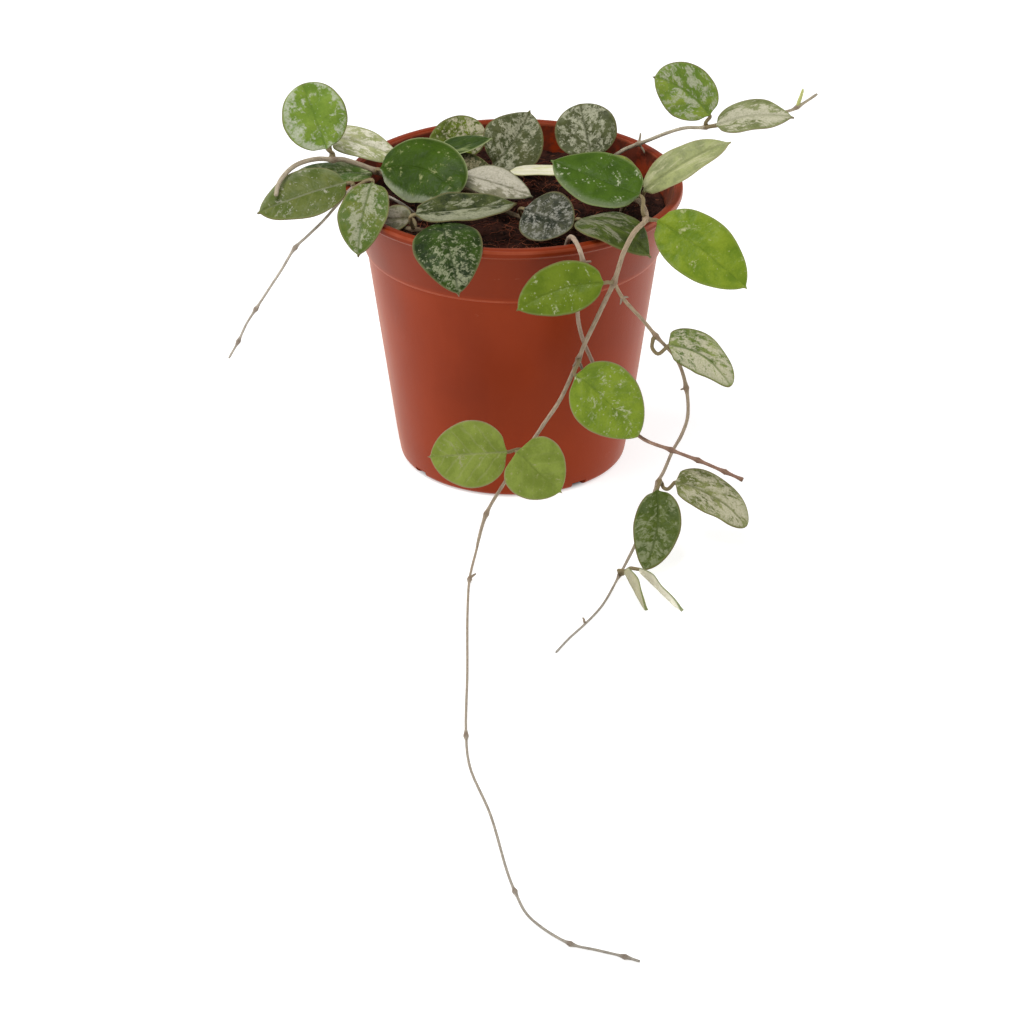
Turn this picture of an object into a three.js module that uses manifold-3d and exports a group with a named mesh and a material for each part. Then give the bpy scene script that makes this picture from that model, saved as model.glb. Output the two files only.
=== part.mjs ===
// A young silver-splashed hoya in a round plastic nursery pot that stands on a flat surface.
// Millimetres, +Z up. The origin is the centre of the pot's base. The runners hang over the
// rim on the -Y side and trail along the surface; +X is to the right seen from there.
import * as THREE from 'three';
import { mergeVertices } from 'three/addons/utils/BufferGeometryUtils.js';
import Module from 'manifold-3d';

const wasm = await Module();
wasm.setup();

// ---- driving dimensions: the pot ----
const POT_HEIGHT = 104;
const RIM_RADIUS = 60;
const LIP_HEIGHT = 2.8;
const LIP_OVERHANG = 1.6;
const COLLAR_Z = 81;
const COLLAR_RADIUS = 52.5;
const COLLAR_STEP = 0.7;
const FOOT_RADIUS = 40.5;
const FOOT_ROUND_Z = 8;
const WALL = 1.6;
const FLOOR = 2;
const DRAIN_HOLES = { count: 6, circle: 24, radius: 3.5 };
const FOOT_NOTCHES = { count: 4, firstAngle: -0.95, width: 6, height: 2.6 };

// ---- driving dimensions: soil, stems and leaves ----
const SOIL_TOP = 94;
const SOIL_BUMP = 0.7;
const CLEARANCE = 0.35;
const HOLE_CLEARANCE = 0.5;
const NODE_SWELL = 0.35;
const PETIOLE_RADIUS = 0.65;
const BLADE_EDGE = 0.6;
const BLADE_MIDDLE = 1.1;

// ---- fineness of the faceted solids ----
const POT_SEGMENTS = 42;
const SOIL_SEGMENTS = 30;
const STEM_SIDES = 6;
const STEM_STEPS = 2;
const BLADE_STEPS = 7;
const PETIOLE_STEPS = 2;
const BLADE_COLUMNS = 5;
const HOLE_SIDES = 12;

const vec = (p) => new THREE.Vector3(...p);
const mix = (a, b, t) => a + (b - a) * t;

// ---- joining and cutting ----
function toSolid(geometry) {
  const bare = geometry.clone();
  bare.deleteAttribute('normal');
  bare.deleteAttribute('uv');
  const merged = mergeVertices(bare);
  const mesh = new wasm.Mesh({
    numProp: 3,
    vertProperties: new Float32Array(merged.attributes.position.array),
    triVerts: new Uint32Array(merged.index.array),
  });
  return new wasm.Manifold(mesh);
}

function toGeometry(solid) {
  const mesh = solid.getMesh();
  const geometry = new THREE.BufferGeometry();
  geometry.setAttribute('position', new THREE.BufferAttribute(new Float32Array(mesh.vertProperties), 3));
  geometry.setIndex(new THREE.BufferAttribute(new Uint32Array(mesh.triVerts), 1));
  return geometry;
}

// ---- one closed skin over a row of rings, which all have the same number of points ----
// Spans listed in `mirrored` are split along their other diagonal.
function loft(rings, mirrored = () => false) {
  const sides = rings[0].length;
  const positions = rings.flat().flatMap((p) => [p.x, p.y, p.z]);
  const index = [];
  for (let i = 0; i + 1 < rings.length; i += 1) {
    for (let j = 0; j < sides; j += 1) {
      const a = i * sides + j;
      const b = i * sides + ((j + 1) % sides);
      const c = b + sides;
      const d = a + sides;
      if (mirrored(j)) index.push(a, b, d, b, c, d);
      else index.push(a, b, c, a, c, d);
    }
  }
  for (const [row, flipped] of [[0, true], [rings.length - 1, false]]) {
    const middle = rings[row].reduce((sum, p) => sum.add(p), new THREE.Vector3()).divideScalar(sides);
    const hub = positions.length / 3;
    positions.push(middle.x, middle.y, middle.z);
    for (let j = 0; j < sides; j += 1) {
      const a = row * sides + j;
      const b = row * sides + ((j + 1) % sides);
      index.push(...(flipped ? [hub, b, a] : [hub, a, b]));
    }
  }
  const geometry = new THREE.BufferGeometry();
  geometry.setAttribute('position', new THREE.BufferAttribute(new Float32Array(positions), 3));
  geometry.setIndex(index);
  return facingOut(geometry);
}

function facingOut(geometry) {
  const position = geometry.attributes.position;
  const index = geometry.index.array;
  const [a, b, c] = [new THREE.Vector3(), new THREE.Vector3(), new THREE.Vector3()];
  let volume = 0;
  for (let i = 0; i < index.length; i += 3) {
    a.fromBufferAttribute(position, index[i]);
    b.fromBufferAttribute(position, index[i + 1]);
    c.fromBufferAttribute(position, index[i + 2]);
    volume += a.dot(b.cross(c));
  }
  if (volume < 0) geometry.setIndex(Array.from(index).reverse());
  return geometry;
}

// ---- carries a sideways direction along a path, square to it everywhere ----
function framesAlong(path, side) {
  let across = side.clone();
  return path.map((point, i) => {
    const before = path[Math.max(i - 1, 0)];
    const after = path[Math.min(i + 1, path.length - 1)];
    const along = after.clone().sub(before).normalize();
    across = across.clone().addScaledVector(along, -across.dot(along)).normalize();
    return { point, along, across, up: across.clone().cross(along) };
  });
}

function placed({ point, across, up }, x, h) {
  return point.clone().addScaledVector(across, x).addScaledVector(up, h);
}

function tube(path, radii, sides = STEM_SIDES) {
  const first = path[1].clone().sub(path[0]);
  const upright = Math.abs(first.z) > first.length() * 0.8;
  const side = upright ? new THREE.Vector3(1, 0, 0) : new THREE.Vector3(0, 0, 1);
  const rings = framesAlong(path, side).map((frame, i) => Array.from({ length: sides }, (_, j) => {
    const angle = (2 * Math.PI * j) / sides;
    return placed(frame, radii[i] * Math.cos(angle), radii[i] * Math.sin(angle));
  }));
  return loft(rings);
}

// ---- pot: thin wall with a flared collar and a rolled lip, turned on the lathe ----
function wallRadius(z) {
  const t = (z - FOOT_ROUND_Z) / (COLLAR_Z - FOOT_ROUND_Z);
  return mix(FOOT_RADIUS + 1.2, COLLAR_RADIUS - COLLAR_STEP, t);
}

const collarTopZ = POT_HEIGHT - LIP_HEIGHT - 1;
function collarRadius(z) {
  const t = (z - COLLAR_Z - 2) / (collarTopZ - COLLAR_Z - 2);
  return mix(COLLAR_RADIUS + 0.6, RIM_RADIUS - LIP_OVERHANG, t);
}

function potGeometry() {
  const outside = [
    [0, 0], [FOOT_RADIUS - 2, 0], [FOOT_RADIUS, 1.2], [wallRadius(FOOT_ROUND_Z), FOOT_ROUND_Z],
    [wallRadius(COLLAR_Z), COLLAR_Z], [COLLAR_RADIUS, COLLAR_Z], [collarRadius(COLLAR_Z + 2), COLLAR_Z + 2],
    [collarRadius(collarTopZ), collarTopZ], [RIM_RADIUS, POT_HEIGHT - LIP_HEIGHT],
    [RIM_RADIUS, POT_HEIGHT - 0.8], [RIM_RADIUS - 0.8, POT_HEIGHT],
  ];
  const inside = [
    [collarRadius(collarTopZ) - WALL + 0.6, POT_HEIGHT],
    [collarRadius(collarTopZ) - WALL, POT_HEIGHT - 1.5],
    [collarRadius(COLLAR_Z + 2) - WALL, COLLAR_Z + 1.5], [wallRadius(COLLAR_Z) - WALL, COLLAR_Z - 1],
    [wallRadius(FOOT_ROUND_Z) - WALL, FOOT_ROUND_Z], [FOOT_RADIUS - 1.4, FLOOR], [0, FLOOR],
  ];
  const profile = [...outside, ...inside].map(([r, z]) => new THREE.Vector2(r, z));
  const shell = new THREE.LatheGeometry(profile, POT_SEGMENTS).rotateX(Math.PI / 2);
  let solid = toSolid(shell);
  for (let i = 0; i < DRAIN_HOLES.count; i += 1) {
    const angle = (2 * Math.PI * i) / DRAIN_HOLES.count;
    const drill = new THREE.CylinderGeometry(DRAIN_HOLES.radius, DRAIN_HOLES.radius, 3 * FLOOR, HOLE_SIDES)
      .rotateX(Math.PI / 2)
      .translate(DRAIN_HOLES.circle * Math.cos(angle), DRAIN_HOLES.circle * Math.sin(angle), FLOOR / 2);
    solid = solid.subtract(toSolid(drill));
  }
  for (let i = 0; i < FOOT_NOTCHES.count; i += 1) {
    const angle = FOOT_NOTCHES.firstAngle + (2 * Math.PI * i) / FOOT_NOTCHES.count;
    const notch = new THREE.BoxGeometry(8, FOOT_NOTCHES.width, 2 * FOOT_NOTCHES.height)
      .translate(FOOT_RADIUS, 0, 0)
      .rotateZ(angle);
    solid = solid.subtract(toSolid(notch));
  }
  return toGeometry(solid);
}

// ---- stems ----
// Each route runs from inside the soil to the tip, through points chosen by hand.
// `nodes` are the numbers of the route points that are swollen leaf joints.
const STEMS = {
  front: {
    radius: [1.15, 0.6],
    thinAt: 19,
    nodes: [3, 5, 8, 12, 16, 18, 20, 23, 27, 29, 31],
    route: [
      [38, 0, 78], [38, -1, 90], [39.5, -5, 98], [42.5, -15, 104], [45, -28, 107], [45.8, -39.4, 107],
      [41, -55.5, 108.5], [37.6, -61, 103.8], [34.5, -62, 93.4], [31.8, -62, 87], [28, -62, 78],
      [24.8, -62, 70.5], [22.6, -62, 64.4], [16.3, -63, 49.3], [11, -64, 41], [6.6, -65, 34.1],
      [4.2, -66, 30.7], [-3.4, -70, 19.9], [-9.2, -75, 11.2], [-12.8, -85, 1.8], [-14.8, -104, 1.5],
      [-15.3, -127, 1], [-15, -168, 1], [-15, -210, 1.3], [-13.6, -229, 1], [-7, -258, 1],
      [-1.8, -291, 1], [0.6, -303, 1.3], [5, -317, 1], [17, -332, 1.3], [25, -335, 1],
      [33, -339, 1.3], [37.3, -341, 1],
    ],
  },
  dry: {
    radius: [1.15, 0.7],
    nodes: [5, 12, 13, 14, 15],
    route: [
      [17, -38, 78], [17.3, -39.5, 90], [18.3, -45, 99], [20, -52.5, 106], [22.3, -58.5, 105],
      [23.9, -60.8, 100], [23, -58.4, 88.6], [22.3, -54, 77.8], [23.5, -53, 70],
      [25.7, -52.5, 63.4], [34.5, -53, 44.4], [43.8, -60, 34], [54.7, -69, 33],
      [64, -71, 30], [73.4, -72, 26], [79.6, -73, 23.4],
    ],
  },
  left_low: {
    radius: [0.85, 0.6],
    nodes: [4, 8, 11, 13],
    route: [
      [-30, -8, 78], [-31, -10, 90], [-36, -13, 99], [-46, -15, 106], [-55.4, -15, 108.2],
      [-61.6, -18.2, 102.7], [-66, -20.4, 98.2], [-71.4, -22.1, 93.3], [-76, -23, 89],
      [-81, -23, 80.5], [-86.7, -22, 71], [-90.4, -22, 65],
      [-94, -21, 58.7], [-97, -21, 52], [-100.6, -20, 45],
    ],
  },
  left_high: {
    radius: [1.1, 0.9],
    nodes: [3, 5],
    route: [
      [-27, 7, 78], [-28, 6, 90], [-36, 3, 100], [-48.2, 0.6, 108], [-59.7, 1.5, 112],
      [-63.1, -0.9, 113], [-68.6, -4, 114.5], [-75, -8.5, 114.5], [-79, -13, 113],
      [-81.6, -17.4, 110.5], [-82.4, -20.5, 107.5],
    ],
  },
  right: {
    radius: [0.95, 0.6],
    nodes: [4, 8, 11],
    route: [
      [30, 34, 78], [31, 34, 90], [34, 34.5, 97], [39, 34, 101.5], [45.2, 29.3, 106.5], [48.7, 26.7, 109],
      [55, 26, 112], [61.4, 27, 113.5], [69, 29, 113], [84.8, 35, 115.3], [99, 37, 116],
      [102, 37, 117.5], [109, 37, 122.5],
    ],
  },
  heart: {
    radius: [0.9, 0.75],
    nodes: [3, 4],
    route: [
      [-41, -23, 78], [-41, -25, 90], [-39, -30, 99], [-34, -36, 101.5], [-27, -37, 101], [-20, -34, 98.5],
      [-13, -29, 97],
    ],
  },
  back: {
    radius: [0.9, 0.75],
    nodes: [2, 4, 5, 7],
    route: [
      [-31, 34, 78], [-31, 33.5, 90], [-28, 32, 97.5], [-18, 31, 98], [-9, 29, 97.5], [3, 26, 97],
      [15, 29, 97], [26, 33, 98], [31, 28, 96.8],
    ],
  },
  middle: {
    radius: [0.9, 0.75],
    nodes: [2, 3, 6, 8],
    route: [
      [-22, 9, 78], [-22, 8, 90], [-20, 3, 99], [-17, -1, 102], [-10, -4, 99], [-3, -9, 97],
      [4, -16, 97.2], [13, -22, 97.2], [22, -28, 98.5], [29, -27, 97],
    ],
  },
};

// The side branch grows out of the front stem at its first swelling outside the pot.
const BRANCH = {
  radius: [0.8, 0.6],
  nodes: [3, 5, 10, 13],
  route: [
    [34.5, -62, 93.4], [37.3, -61, 87.4], [45.2, -58, 76.6], [49.3, -57, 70.8], [56.7, -57, 61.7],
    [60, -58, 51.5], [60.6, -60, 41.3], [58.4, -62, 35], [55.6, -63.5, 30.2], [52.4, -68, 24.3],
    [50.3, -72, 22.1], [45.6, -84, 13.5], [41.4, -90, 5.3], [36.5, -102.4, 2.2], [30.2, -122, 1],
    [24.2, -135, 1], [19, -144.5, 1], [14.3, -154.5, 1],
  ],
};

// Short rootlets, dried stubs and a bud, each sunk into the stem that it grows from.
const SPURS = {
  front: [
    { from: [22.6, -62, 64.4], to: [20.6, -63, 62], radius: 0.6 },
    { from: [22.6, -62, 64.4], to: [24.2, -63, 59], radius: 0.6 },
    { from: [-9.2, -75, 11.2], to: [-9.8, -76, 9], radius: 0.5 },
    { from: [-14.8, -104, 1.5], to: [-12.6, -101, 1.6], radius: 0.45 },
    { from: [37.3, -61, 87.4], to: [36.6, -62, 85], radius: 0.45 },
    { from: [37.3, -61, 87.4], to: [39.4, -62, 87.6], radius: 0.45 },
    { from: [60, -58, 51.5], to: [58, -58.6, 51], radius: 0.45 },
    { from: [24.2, -135, 1], to: [23.4, -131.6, 1.1], radius: 0.45 },
  ],
  dry: [
    { from: [23.9, -60.8, 100], to: [26.6, -62, 101], radius: 0.6 },
    { from: [23.9, -60.8, 100], to: [25.8, -63, 98.6], radius: 0.6 },
  ],
  right: [
    { from: [45.2, 29.3, 106.5], to: [45.6, 30, 110.4], radius: 0.45 },
    { from: [45.2, 29.3, 106.5], to: [47.2, 28.6, 103], radius: 0.45 },
    { from: [102, 37, 117.5], to: [103.8, 37, 124.5], radius: 0.7 },
  ],
};

function stemCurve(stem) {
  return new THREE.CatmullRomCurve3(stem.route.map(vec), false, 'centripetal');
}

function stemRadius(stem, place) {
  const thinAt = stem.thinAt ?? stem.route.length - 1;
  const taper = mix(stem.radius[0], stem.radius[1], Math.min(place / thinAt, 1));
  return taper + (stem.nodes.includes(place) ? NODE_SWELL : 0);
}

function stemGeometry(stem, extra = 0, lastPlace = stem.route.length - 1) {
  const curve = stemCurve(stem);
  const steps = lastPlace * STEM_STEPS;
  const places = Array.from({ length: steps + 1 }, (_, i) => i / STEM_STEPS);
  const path = places.map((place) => curve.getPoint(place / (stem.route.length - 1)));
  const radii = places.map((place) => stemRadius(stem, place) + extra);
  return tube(path, radii);
}

function spurGeometry({ from, to, radius }) {
  const path = [vec(from), vec(from).lerp(vec(to), 0.6), vec(to)];
  return tube(path, [radius, radius, radius * 0.6], 5);
}

function wholeStemGeometry(name) {
  let solid = toSolid(stemGeometry(STEMS[name]));
  if (name === 'front') solid = solid.add(toSolid(stemGeometry(BRANCH)));
  for (const spur of SPURS[name] ?? []) solid = solid.add(toSolid(spurGeometry(spur)));
  return toGeometry(solid);
}

// ---- soil: fills the pot to just under the rim, with a plain hole round each stem ----
function soilHeight(x, y) {
  const lumps = Math.sin(x * 0.31 + 1) * Math.cos(y * 0.27);
  const slope = 0.6 * Math.sin(x * 0.13 - y * 0.19);
  return SOIL_TOP + SOIL_BUMP * (lumps + slope);
}

function soilGeometry() {
  const inner = WALL + CLEARANCE + 0.25;
  const rim = collarRadius(SOIL_TOP) - inner - 0.4;
  const side = [
    [FOOT_RADIUS - 2.4, FLOOR + CLEARANCE], [wallRadius(FOOT_ROUND_Z) - inner, FOOT_ROUND_Z + CLEARANCE],
    [wallRadius(COLLAR_Z) - inner - 0.2, COLLAR_Z - 1.5],
    [collarRadius(COLLAR_Z + 2) - inner - 0.2, COLLAR_Z + 2.5],
  ];
  const top = [rim, 47, 38, 28, 18, 9, 2];
  const ring = (r, height) => Array.from({ length: SOIL_SEGMENTS }, (_, j) => {
    const angle = (2 * Math.PI * j) / SOIL_SEGMENTS;
    const [x, y] = [r * Math.cos(angle), r * Math.sin(angle)];
    return new THREE.Vector3(x, y, height(x, y));
  });
  const rings = [...side.map(([r, z]) => ring(r, () => z)), ...top.map((r) => ring(r, soilHeight))];
  let solid = toSolid(loft(rings));
  for (const stem of Object.values(STEMS)) {
    const [x, y, z] = stem.route[0];
    const buried = { ...stem, nodes: [], route: [[x, y, z - 1], ...stem.route.slice(1)] };
    solid = solid.subtract(toSolid(stemGeometry(buried, HOLE_CLEARANCE, 2)));
  }
  return toGeometry(solid);
}

// ---- leaves ----
// A leaf grows from a numbered point of its stem. `base` and `tip` are the ends of its blade,
// `up` is where its upper face looks, `arch` lifts its middle, `cup` lifts its edges and `bend`
// bows its midrib to the right.
// `round` and `point` shape its outline: the smaller they are, the blunter base and tip are.
const GREEN = 'green';
const DARK = 'dark';
const SILVER = 'silver';
const LEAVES = [
  // on the high stem at the left
  {
    name: 'left_1', stem: 'left_high', node: 5, color: GREEN,
    base: [-65, -1, 117], tip: [-73.8, 7.7, 138], up: [-0.1, -0.88, 0.46], width: 23,
    round: 0.5, point: 0.5, cup: 1,
  },
  {
    name: 'left_2', stem: 'left_high', node: 5, color: SILVER,
    base: [-64.5, 14.5, 114.8], tip: [-38, 15.6, 104.7], up: [0, -0.5, 0.87], width: 13.5,
    round: 0.35, arch: 1.5, cup: 1, bend: -0.5, via: [[-64, 4, 113.2], [-64.6, 9, 113.9]],
  },
  {
    name: 'left_3', stem: 'left_high', node: 3, color: DARK,
    base: [-49, 5, 105.6], tip: [-78, 2, 106.2], up: [0, -0.05, 1], width: 18, cup: 0.5,
  },
  {
    name: 'left_4', stem: 'left_high', node: 3, color: DARK,
    base: [-46.5, -5, 110.9], tip: [-19.3, -21, 108.4], up: [0, -0.75, 0.66], width: 25.5,
    round: 0.5, point: 0.5, arch: 1, cup: -1, bend: -4.4,
  },
  // on the low stem at the left
  {
    name: 'left_5', stem: 'left_low', node: 4, color: GREEN,
    base: [-58, -14, 109.5], tip: [-89, -21, 101], up: [0, -0.55, 0.83], width: 20, arch: 1.5, cup: 1,
  },
  {
    name: 'left_6', stem: 'left_low', node: 4, color: SILVER,
    base: [-48.5, -24.5, 114], tip: [-53.3, -44, 94.6], up: [-0.3, -0.7, 0.64], width: 18.5,
    arch: 2.5, cup: 1,
  },
  // on the short stem behind the front of the rim
  {
    name: 'heart_1', stem: 'heart', node: 3, color: SILVER,
    base: [-35, -33.2, 104.3], tip: [-48, -21.4, 98.8], up: [0, -0.75, 0.65], width: 10.5, cup: 1,
  },
  {
    name: 'heart_2', stem: 'heart', node: 3, color: SILVER,
    base: [-33.6, -41, 109.3], tip: [1.4, -30.5, 108.8], up: [0, -0.3, 0.95], width: 15.5, cup: 1.5,
  },
  {
    name: 'heart_3', stem: 'heart', node: 4, color: DARK,
    base: [-25, -42, 106.5], tip: [-18.2, -72, 92.5], up: [0, -0.6, 0.8], width: 24, arch: 6, cup: -1,
  },
  // on the stem along the back
  {
    name: 'back_1', stem: 'back', node: 2, color: GREEN,
    base: [-30, 31, 102.6], tip: [-8.8, 35, 107.8], up: [0, -0.8, 0.6], width: 16.5, arch: 1.5, cup: 1,
    round: 0.55, point: 0.45, bend: -1.2,
  },
  {
    name: 'back_2', stem: 'back', node: 2, color: DARK,
    base: [-28, 15, 107], tip: [-7.2, 19, 112.4], up: [0, -0.1, 1], width: 12.5, arch: 1, cup: 1,
  },
  {
    name: 'back_3', stem: 'back', node: 4, color: SILVER,
    base: [-6.9, 22.8, 101], tip: [6.2, 30.4, 119], up: [-0.2, -0.85, 0.5], width: 23, cup: 1, bend: 1.5,
  },
  {
    name: 'back_4', stem: 'back', node: 7, color: SILVER,
    base: [28.4, 28, 101.5], tip: [24, 38.6, 118], up: [0, -0.85, 0.5], width: 22.5,
    round: 0.5, point: 0.5, cup: 1,
  },
  {
    name: 'back_5', stem: 'back', node: 5, color: SILVER,
    base: [-0.9, 12, 102.9], tip: [19, 6.2, 104.8], up: [0, 0.1, 1], width: 14.5, cup: 1,
    via: [[3.2, 20.5, 97.8], [0.9, 15.5, 100.6]],
  },
  // on the stem across the middle
  {
    name: 'middle_4', stem: 'middle', node: 2, color: SILVER,
    base: [-24.5, 8, 103], tip: [-7.4, 11.5, 105.4], up: [0, -0.55, 0.83], width: 15, cup: 1,
  },
  {
    name: 'middle_1', stem: 'middle', node: 3, color: SILVER,
    base: [-17.8, -6, 109], tip: [7, -14, 104], up: [0, -0.3, 0.95], width: 16, arch: 1, cup: 1,
  },
  {
    name: 'middle_2', stem: 'middle', node: 6, color: SILVER,
    base: [4.1, -24, 104], tip: [20.6, -37, 102.5], up: [0.1, -0.7, 0.7], width: 21, cup: 1,
  },
  {
    name: 'middle_3', stem: 'middle', node: 8, color: DARK,
    base: [23.6, -35.6, 105], tip: [47.2, -54.3, 99], up: [0, 0, 1], width: 21.8,
    arch: 5, cup: -0.5, bend: 1.3,
  },
  // on the high stem at the right
  {
    name: 'right_1', stem: 'right', node: 8, color: GREEN,
    base: [70.3, 30, 117], tip: [49.8, 32.5, 130.9], up: [0.1, -0.87, 0.48], width: 20,
    round: 0.5, point: 0.55, cup: 1, bend: 2.3,
  },
  {
    name: 'right_2', stem: 'right', node: 8, color: SILVER,
    base: [72.5, 26.5, 114.5], tip: [100.1, 24.7, 118.2], up: [0, -0.45, 0.9], width: 15.3,
    arch: 1.5, cup: 1, bend: -1.3,
  },
  // on the front stem, from the soil to its end
  {
    name: 'front_1', stem: 'front', node: 3, color: GREEN,
    base: [43, -9.3, 107.5], tip: [23, 6, 109.8], up: [0, -0.4, 0.9], width: 17, cup: 1,
  },
  {
    name: 'front_2', stem: 'front', node: 3, color: SILVER,
    base: [45.5, -20.5, 109], tip: [75.9, -11.5, 124], up: [0, -0.5, 0.87], width: 13.5,
    arch: 1.5, cup: 1.5, bend: -1, via: [[45.2, -17.2, 106]],
  },
  {
    name: 'front_3', stem: 'front', node: 5, color: DARK,
    base: [43.9, -31, 112], tip: [13.3, -14.2, 118], up: [0, -0.5, 0.87], width: 23.5,
    round: 0.5, cup: 1,
  },
  {
    name: 'front_4', stem: 'front', node: 5, color: GREEN,
    base: [49.6, -39.5, 106.5], tip: [80.4, -53, 86.8], up: [0.1, -0.8, 0.6], width: 23,
    arch: 1, cup: 1, bend: -1,
  },
  {
    name: 'front_5', stem: 'front', node: 8, color: GREEN,
    base: [31, -66, 94.9], tip: [1.1, -71, 86.7], up: [0, -0.9, 0.43], width: 18.3, cup: 1, bend: 2.5,
  },
  {
    name: 'front_6', stem: 'front', node: 12, color: GREEN,
    base: [21.4, -66, 60.3], tip: [43, -66, 36.5], up: [0.05, -0.88, 0.46], width: 24.5,
    round: 0.5, cup: 1, bend: -1.5,
  },
  {
    name: 'front_7', stem: 'front', node: 16, color: GREEN,
    base: [-1.9, -67.6, 31.5], tip: [-29.3, -72, 31.8], up: [0, -0.88, 0.46], width: 23.5,
    round: 0.5, point: 0.6, cup: 1,
  },
  {
    name: 'front_8', stem: 'front', node: 16, color: GREEN,
    base: [1.2, -73, 34.3], tip: [17, -77, 20.3], up: [0.1, -0.85, 0.5], width: 23,
    via: [[4.2, -69, 32.2]],
    round: 0.36, point: 0.6, cup: 1,
  },
  // on its side branch
  {
    name: 'branch_1', stem: 'branch', node: 3, color: SILVER,
    base: [53.4, -59, 68], tip: [74.9, -62, 53.8], up: [0.35, -0.6, 0.72], width: 16,
    round: 0.32, point: 0.55, cup: 1, bend: -4.2, via: [[48, -58.5, 67], [50, -59.5, 65.2]],
  },
  {
    name: 'branch_2', stem: 'branch', node: 10, color: SILVER,
    base: [56, -74, 23], tip: [80.7, -80, 8.7], up: [0.4, -0.55, 0.73], width: 16.5,
    round: 0.34, point: 0.5, arch: 1, cup: 1, bend: -2.6, via: [[52.2, -74, 20.8], [53.6, -74.5, 20.6]],
  },
  {
    name: 'branch_3', stem: 'branch', node: 10, color: DARK,
    base: [49.8, -77, 21.5], tip: [44.6, -101.5, 2.5], up: [-0.1, -0.6, 0.79], width: 16.5, cup: 1,
    bend: -2.3,
  },
  {
    name: 'branch_4', stem: 'branch', node: 13, color: SILVER,
    base: [38.5, -105.5, 5], tip: [45, -131.5, 4], up: [0.95, 0.3, 0.1], width: 9, cup: 1,
    via: [[36.2, -104.3, 4.6]],
  },
  {
    name: 'branch_5', stem: 'branch', node: 13, color: SILVER,
    base: [43.5, -104.5, 5], tip: [57, -132, 4], up: [0.65, 0.5, 0.5], width: 10, cup: 1,
    via: [[40, -101, 3.6], [41.5, -102.6, 4.4]],
  },
];

const stemOf = (name) => (name === 'branch' ? BRANCH : STEMS[name]);

// Fraction of the full width at a distance t along the blade.
function outline(t, round, point) {
  const peak = round / (round + point);
  const shape = (s) => s ** round * (1 - s) ** point;
  return shape(t) / shape(peak);
}

function bladeRing(frame, halfWidth, cup, fullHalfWidth) {
  const columns = Array.from({ length: BLADE_COLUMNS }, (_, k) => (2 * k) / (BLADE_COLUMNS - 1) - 1);
  const height = (u) => cup * ((u * halfWidth) / fullHalfWidth) ** 2;
  const half = (u) => mix(BLADE_MIDDLE, BLADE_EDGE, u * u) / 2;
  const top = columns.map((u) => placed(frame, u * halfWidth, height(u) + half(u)));
  const bottom = columns.map((u) => placed(frame, u * halfWidth, height(u) - half(u))).reverse();
  return [...top, ...bottom];
}

function petioleRing(frame) {
  const sides = 2 * BLADE_COLUMNS;
  return Array.from({ length: sides }, (_, j) => {
    const angle = Math.PI - ((2 * j + 1) * Math.PI) / sides;
    return placed(frame, PETIOLE_RADIUS * Math.cos(angle), PETIOLE_RADIUS * Math.sin(angle));
  });
}

function petiolePath(leaf, base, axis) {
  const stem = stemOf(leaf.stem);
  const curve = stemCurve(stem);
  const t = leaf.node / (stem.route.length - 1);
  const joint = curve.getPoint(t);
  const along = curve.getTangent(t);
  const out = vec(leaf.via?.[0] ?? leaf.base).sub(joint);
  out.addScaledVector(along, -out.dot(along)).normalize();
  const start = joint.addScaledVector(out, stemRadius(stem, leaf.node) + CLEARANCE);
  if (leaf.via) {
    const bends = new THREE.CatmullRomCurve3([start, ...leaf.via.map(vec), base], false, 'centripetal');
    return { out, petiole: bends.getPoints(2 * (leaf.via.length + 1)).slice(0, -1) };
  }
  const reach = start.distanceTo(base) / 3;
  const bend = new THREE.CubicBezierCurve3(
    start, start.clone().addScaledVector(out, reach), base.clone().addScaledVector(axis, -reach), base,
  );
  return { out, petiole: bend.getPoints(PETIOLE_STEPS).slice(0, -1) };
}

function leafGeometry(leaf) {
  const { width, arch = 0, bend = 0, cup = 0, round = 0.55, point = 0.7 } = leaf;
  const base = vec(leaf.base);
  const blade = vec(leaf.tip).sub(base);
  const axis = blade.clone().normalize();
  const up = vec(leaf.up);
  up.addScaledVector(axis, -up.dot(axis)).normalize();
  const side = axis.clone().cross(up);

  const turns = Array.from({ length: BLADE_STEPS + 1 }, (_, i) => (Math.PI * i) / BLADE_STEPS);
  const steps = turns.map((turn) => (1 - Math.cos(turn)) / 2);
  const { out, petiole } = petiolePath(leaf, base, axis);
  const bow = up.clone().multiplyScalar(4 * arch).addScaledVector(side, 4 * bend);
  const midrib = steps.map((t) => base.clone().addScaledVector(blade, t).addScaledVector(bow, t * (1 - t)));
  const frames = framesAlong([...petiole, ...midrib].reverse(), side).reverse();
  for (const frame of frames) frame.up.negate();
  // The first ring lies square to the way out of the stem, so that it stays clear of it.
  const [start] = frames;
  start.across.addScaledVector(out, -start.across.dot(out)).normalize();
  start.up.copy(start.across).cross(out);

  const rings = frames.map((frame, i) => {
    const step = i - petiole.length;
    if (step <= 0) return petioleRing(frame);
    const halfWidth = Math.max((width / 2) * outline(steps[step], round, point), BLADE_EDGE / 2);
    return bladeRing(frame, halfWidth, cup, width / 2);
  });
  return loft(rings, (j) => j >= BLADE_COLUMNS);
}

// ---- the plant in its pot ----
const FINISH = {
  pot: { color: 0x8f3d28, roughness: 0.45 },
  soil: { color: 0x3a201a, roughness: 1 },
  stem: { color: 0x8b7a66, roughness: 0.85 },
  [GREEN]: { color: 0x6b8c2c, roughness: 0.45 },
  [DARK]: { color: 0x40601f, roughness: 0.45 },
  [SILVER]: { color: 0x8f9a78, roughness: 0.5 },
};

const plant = new THREE.Group();

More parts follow.
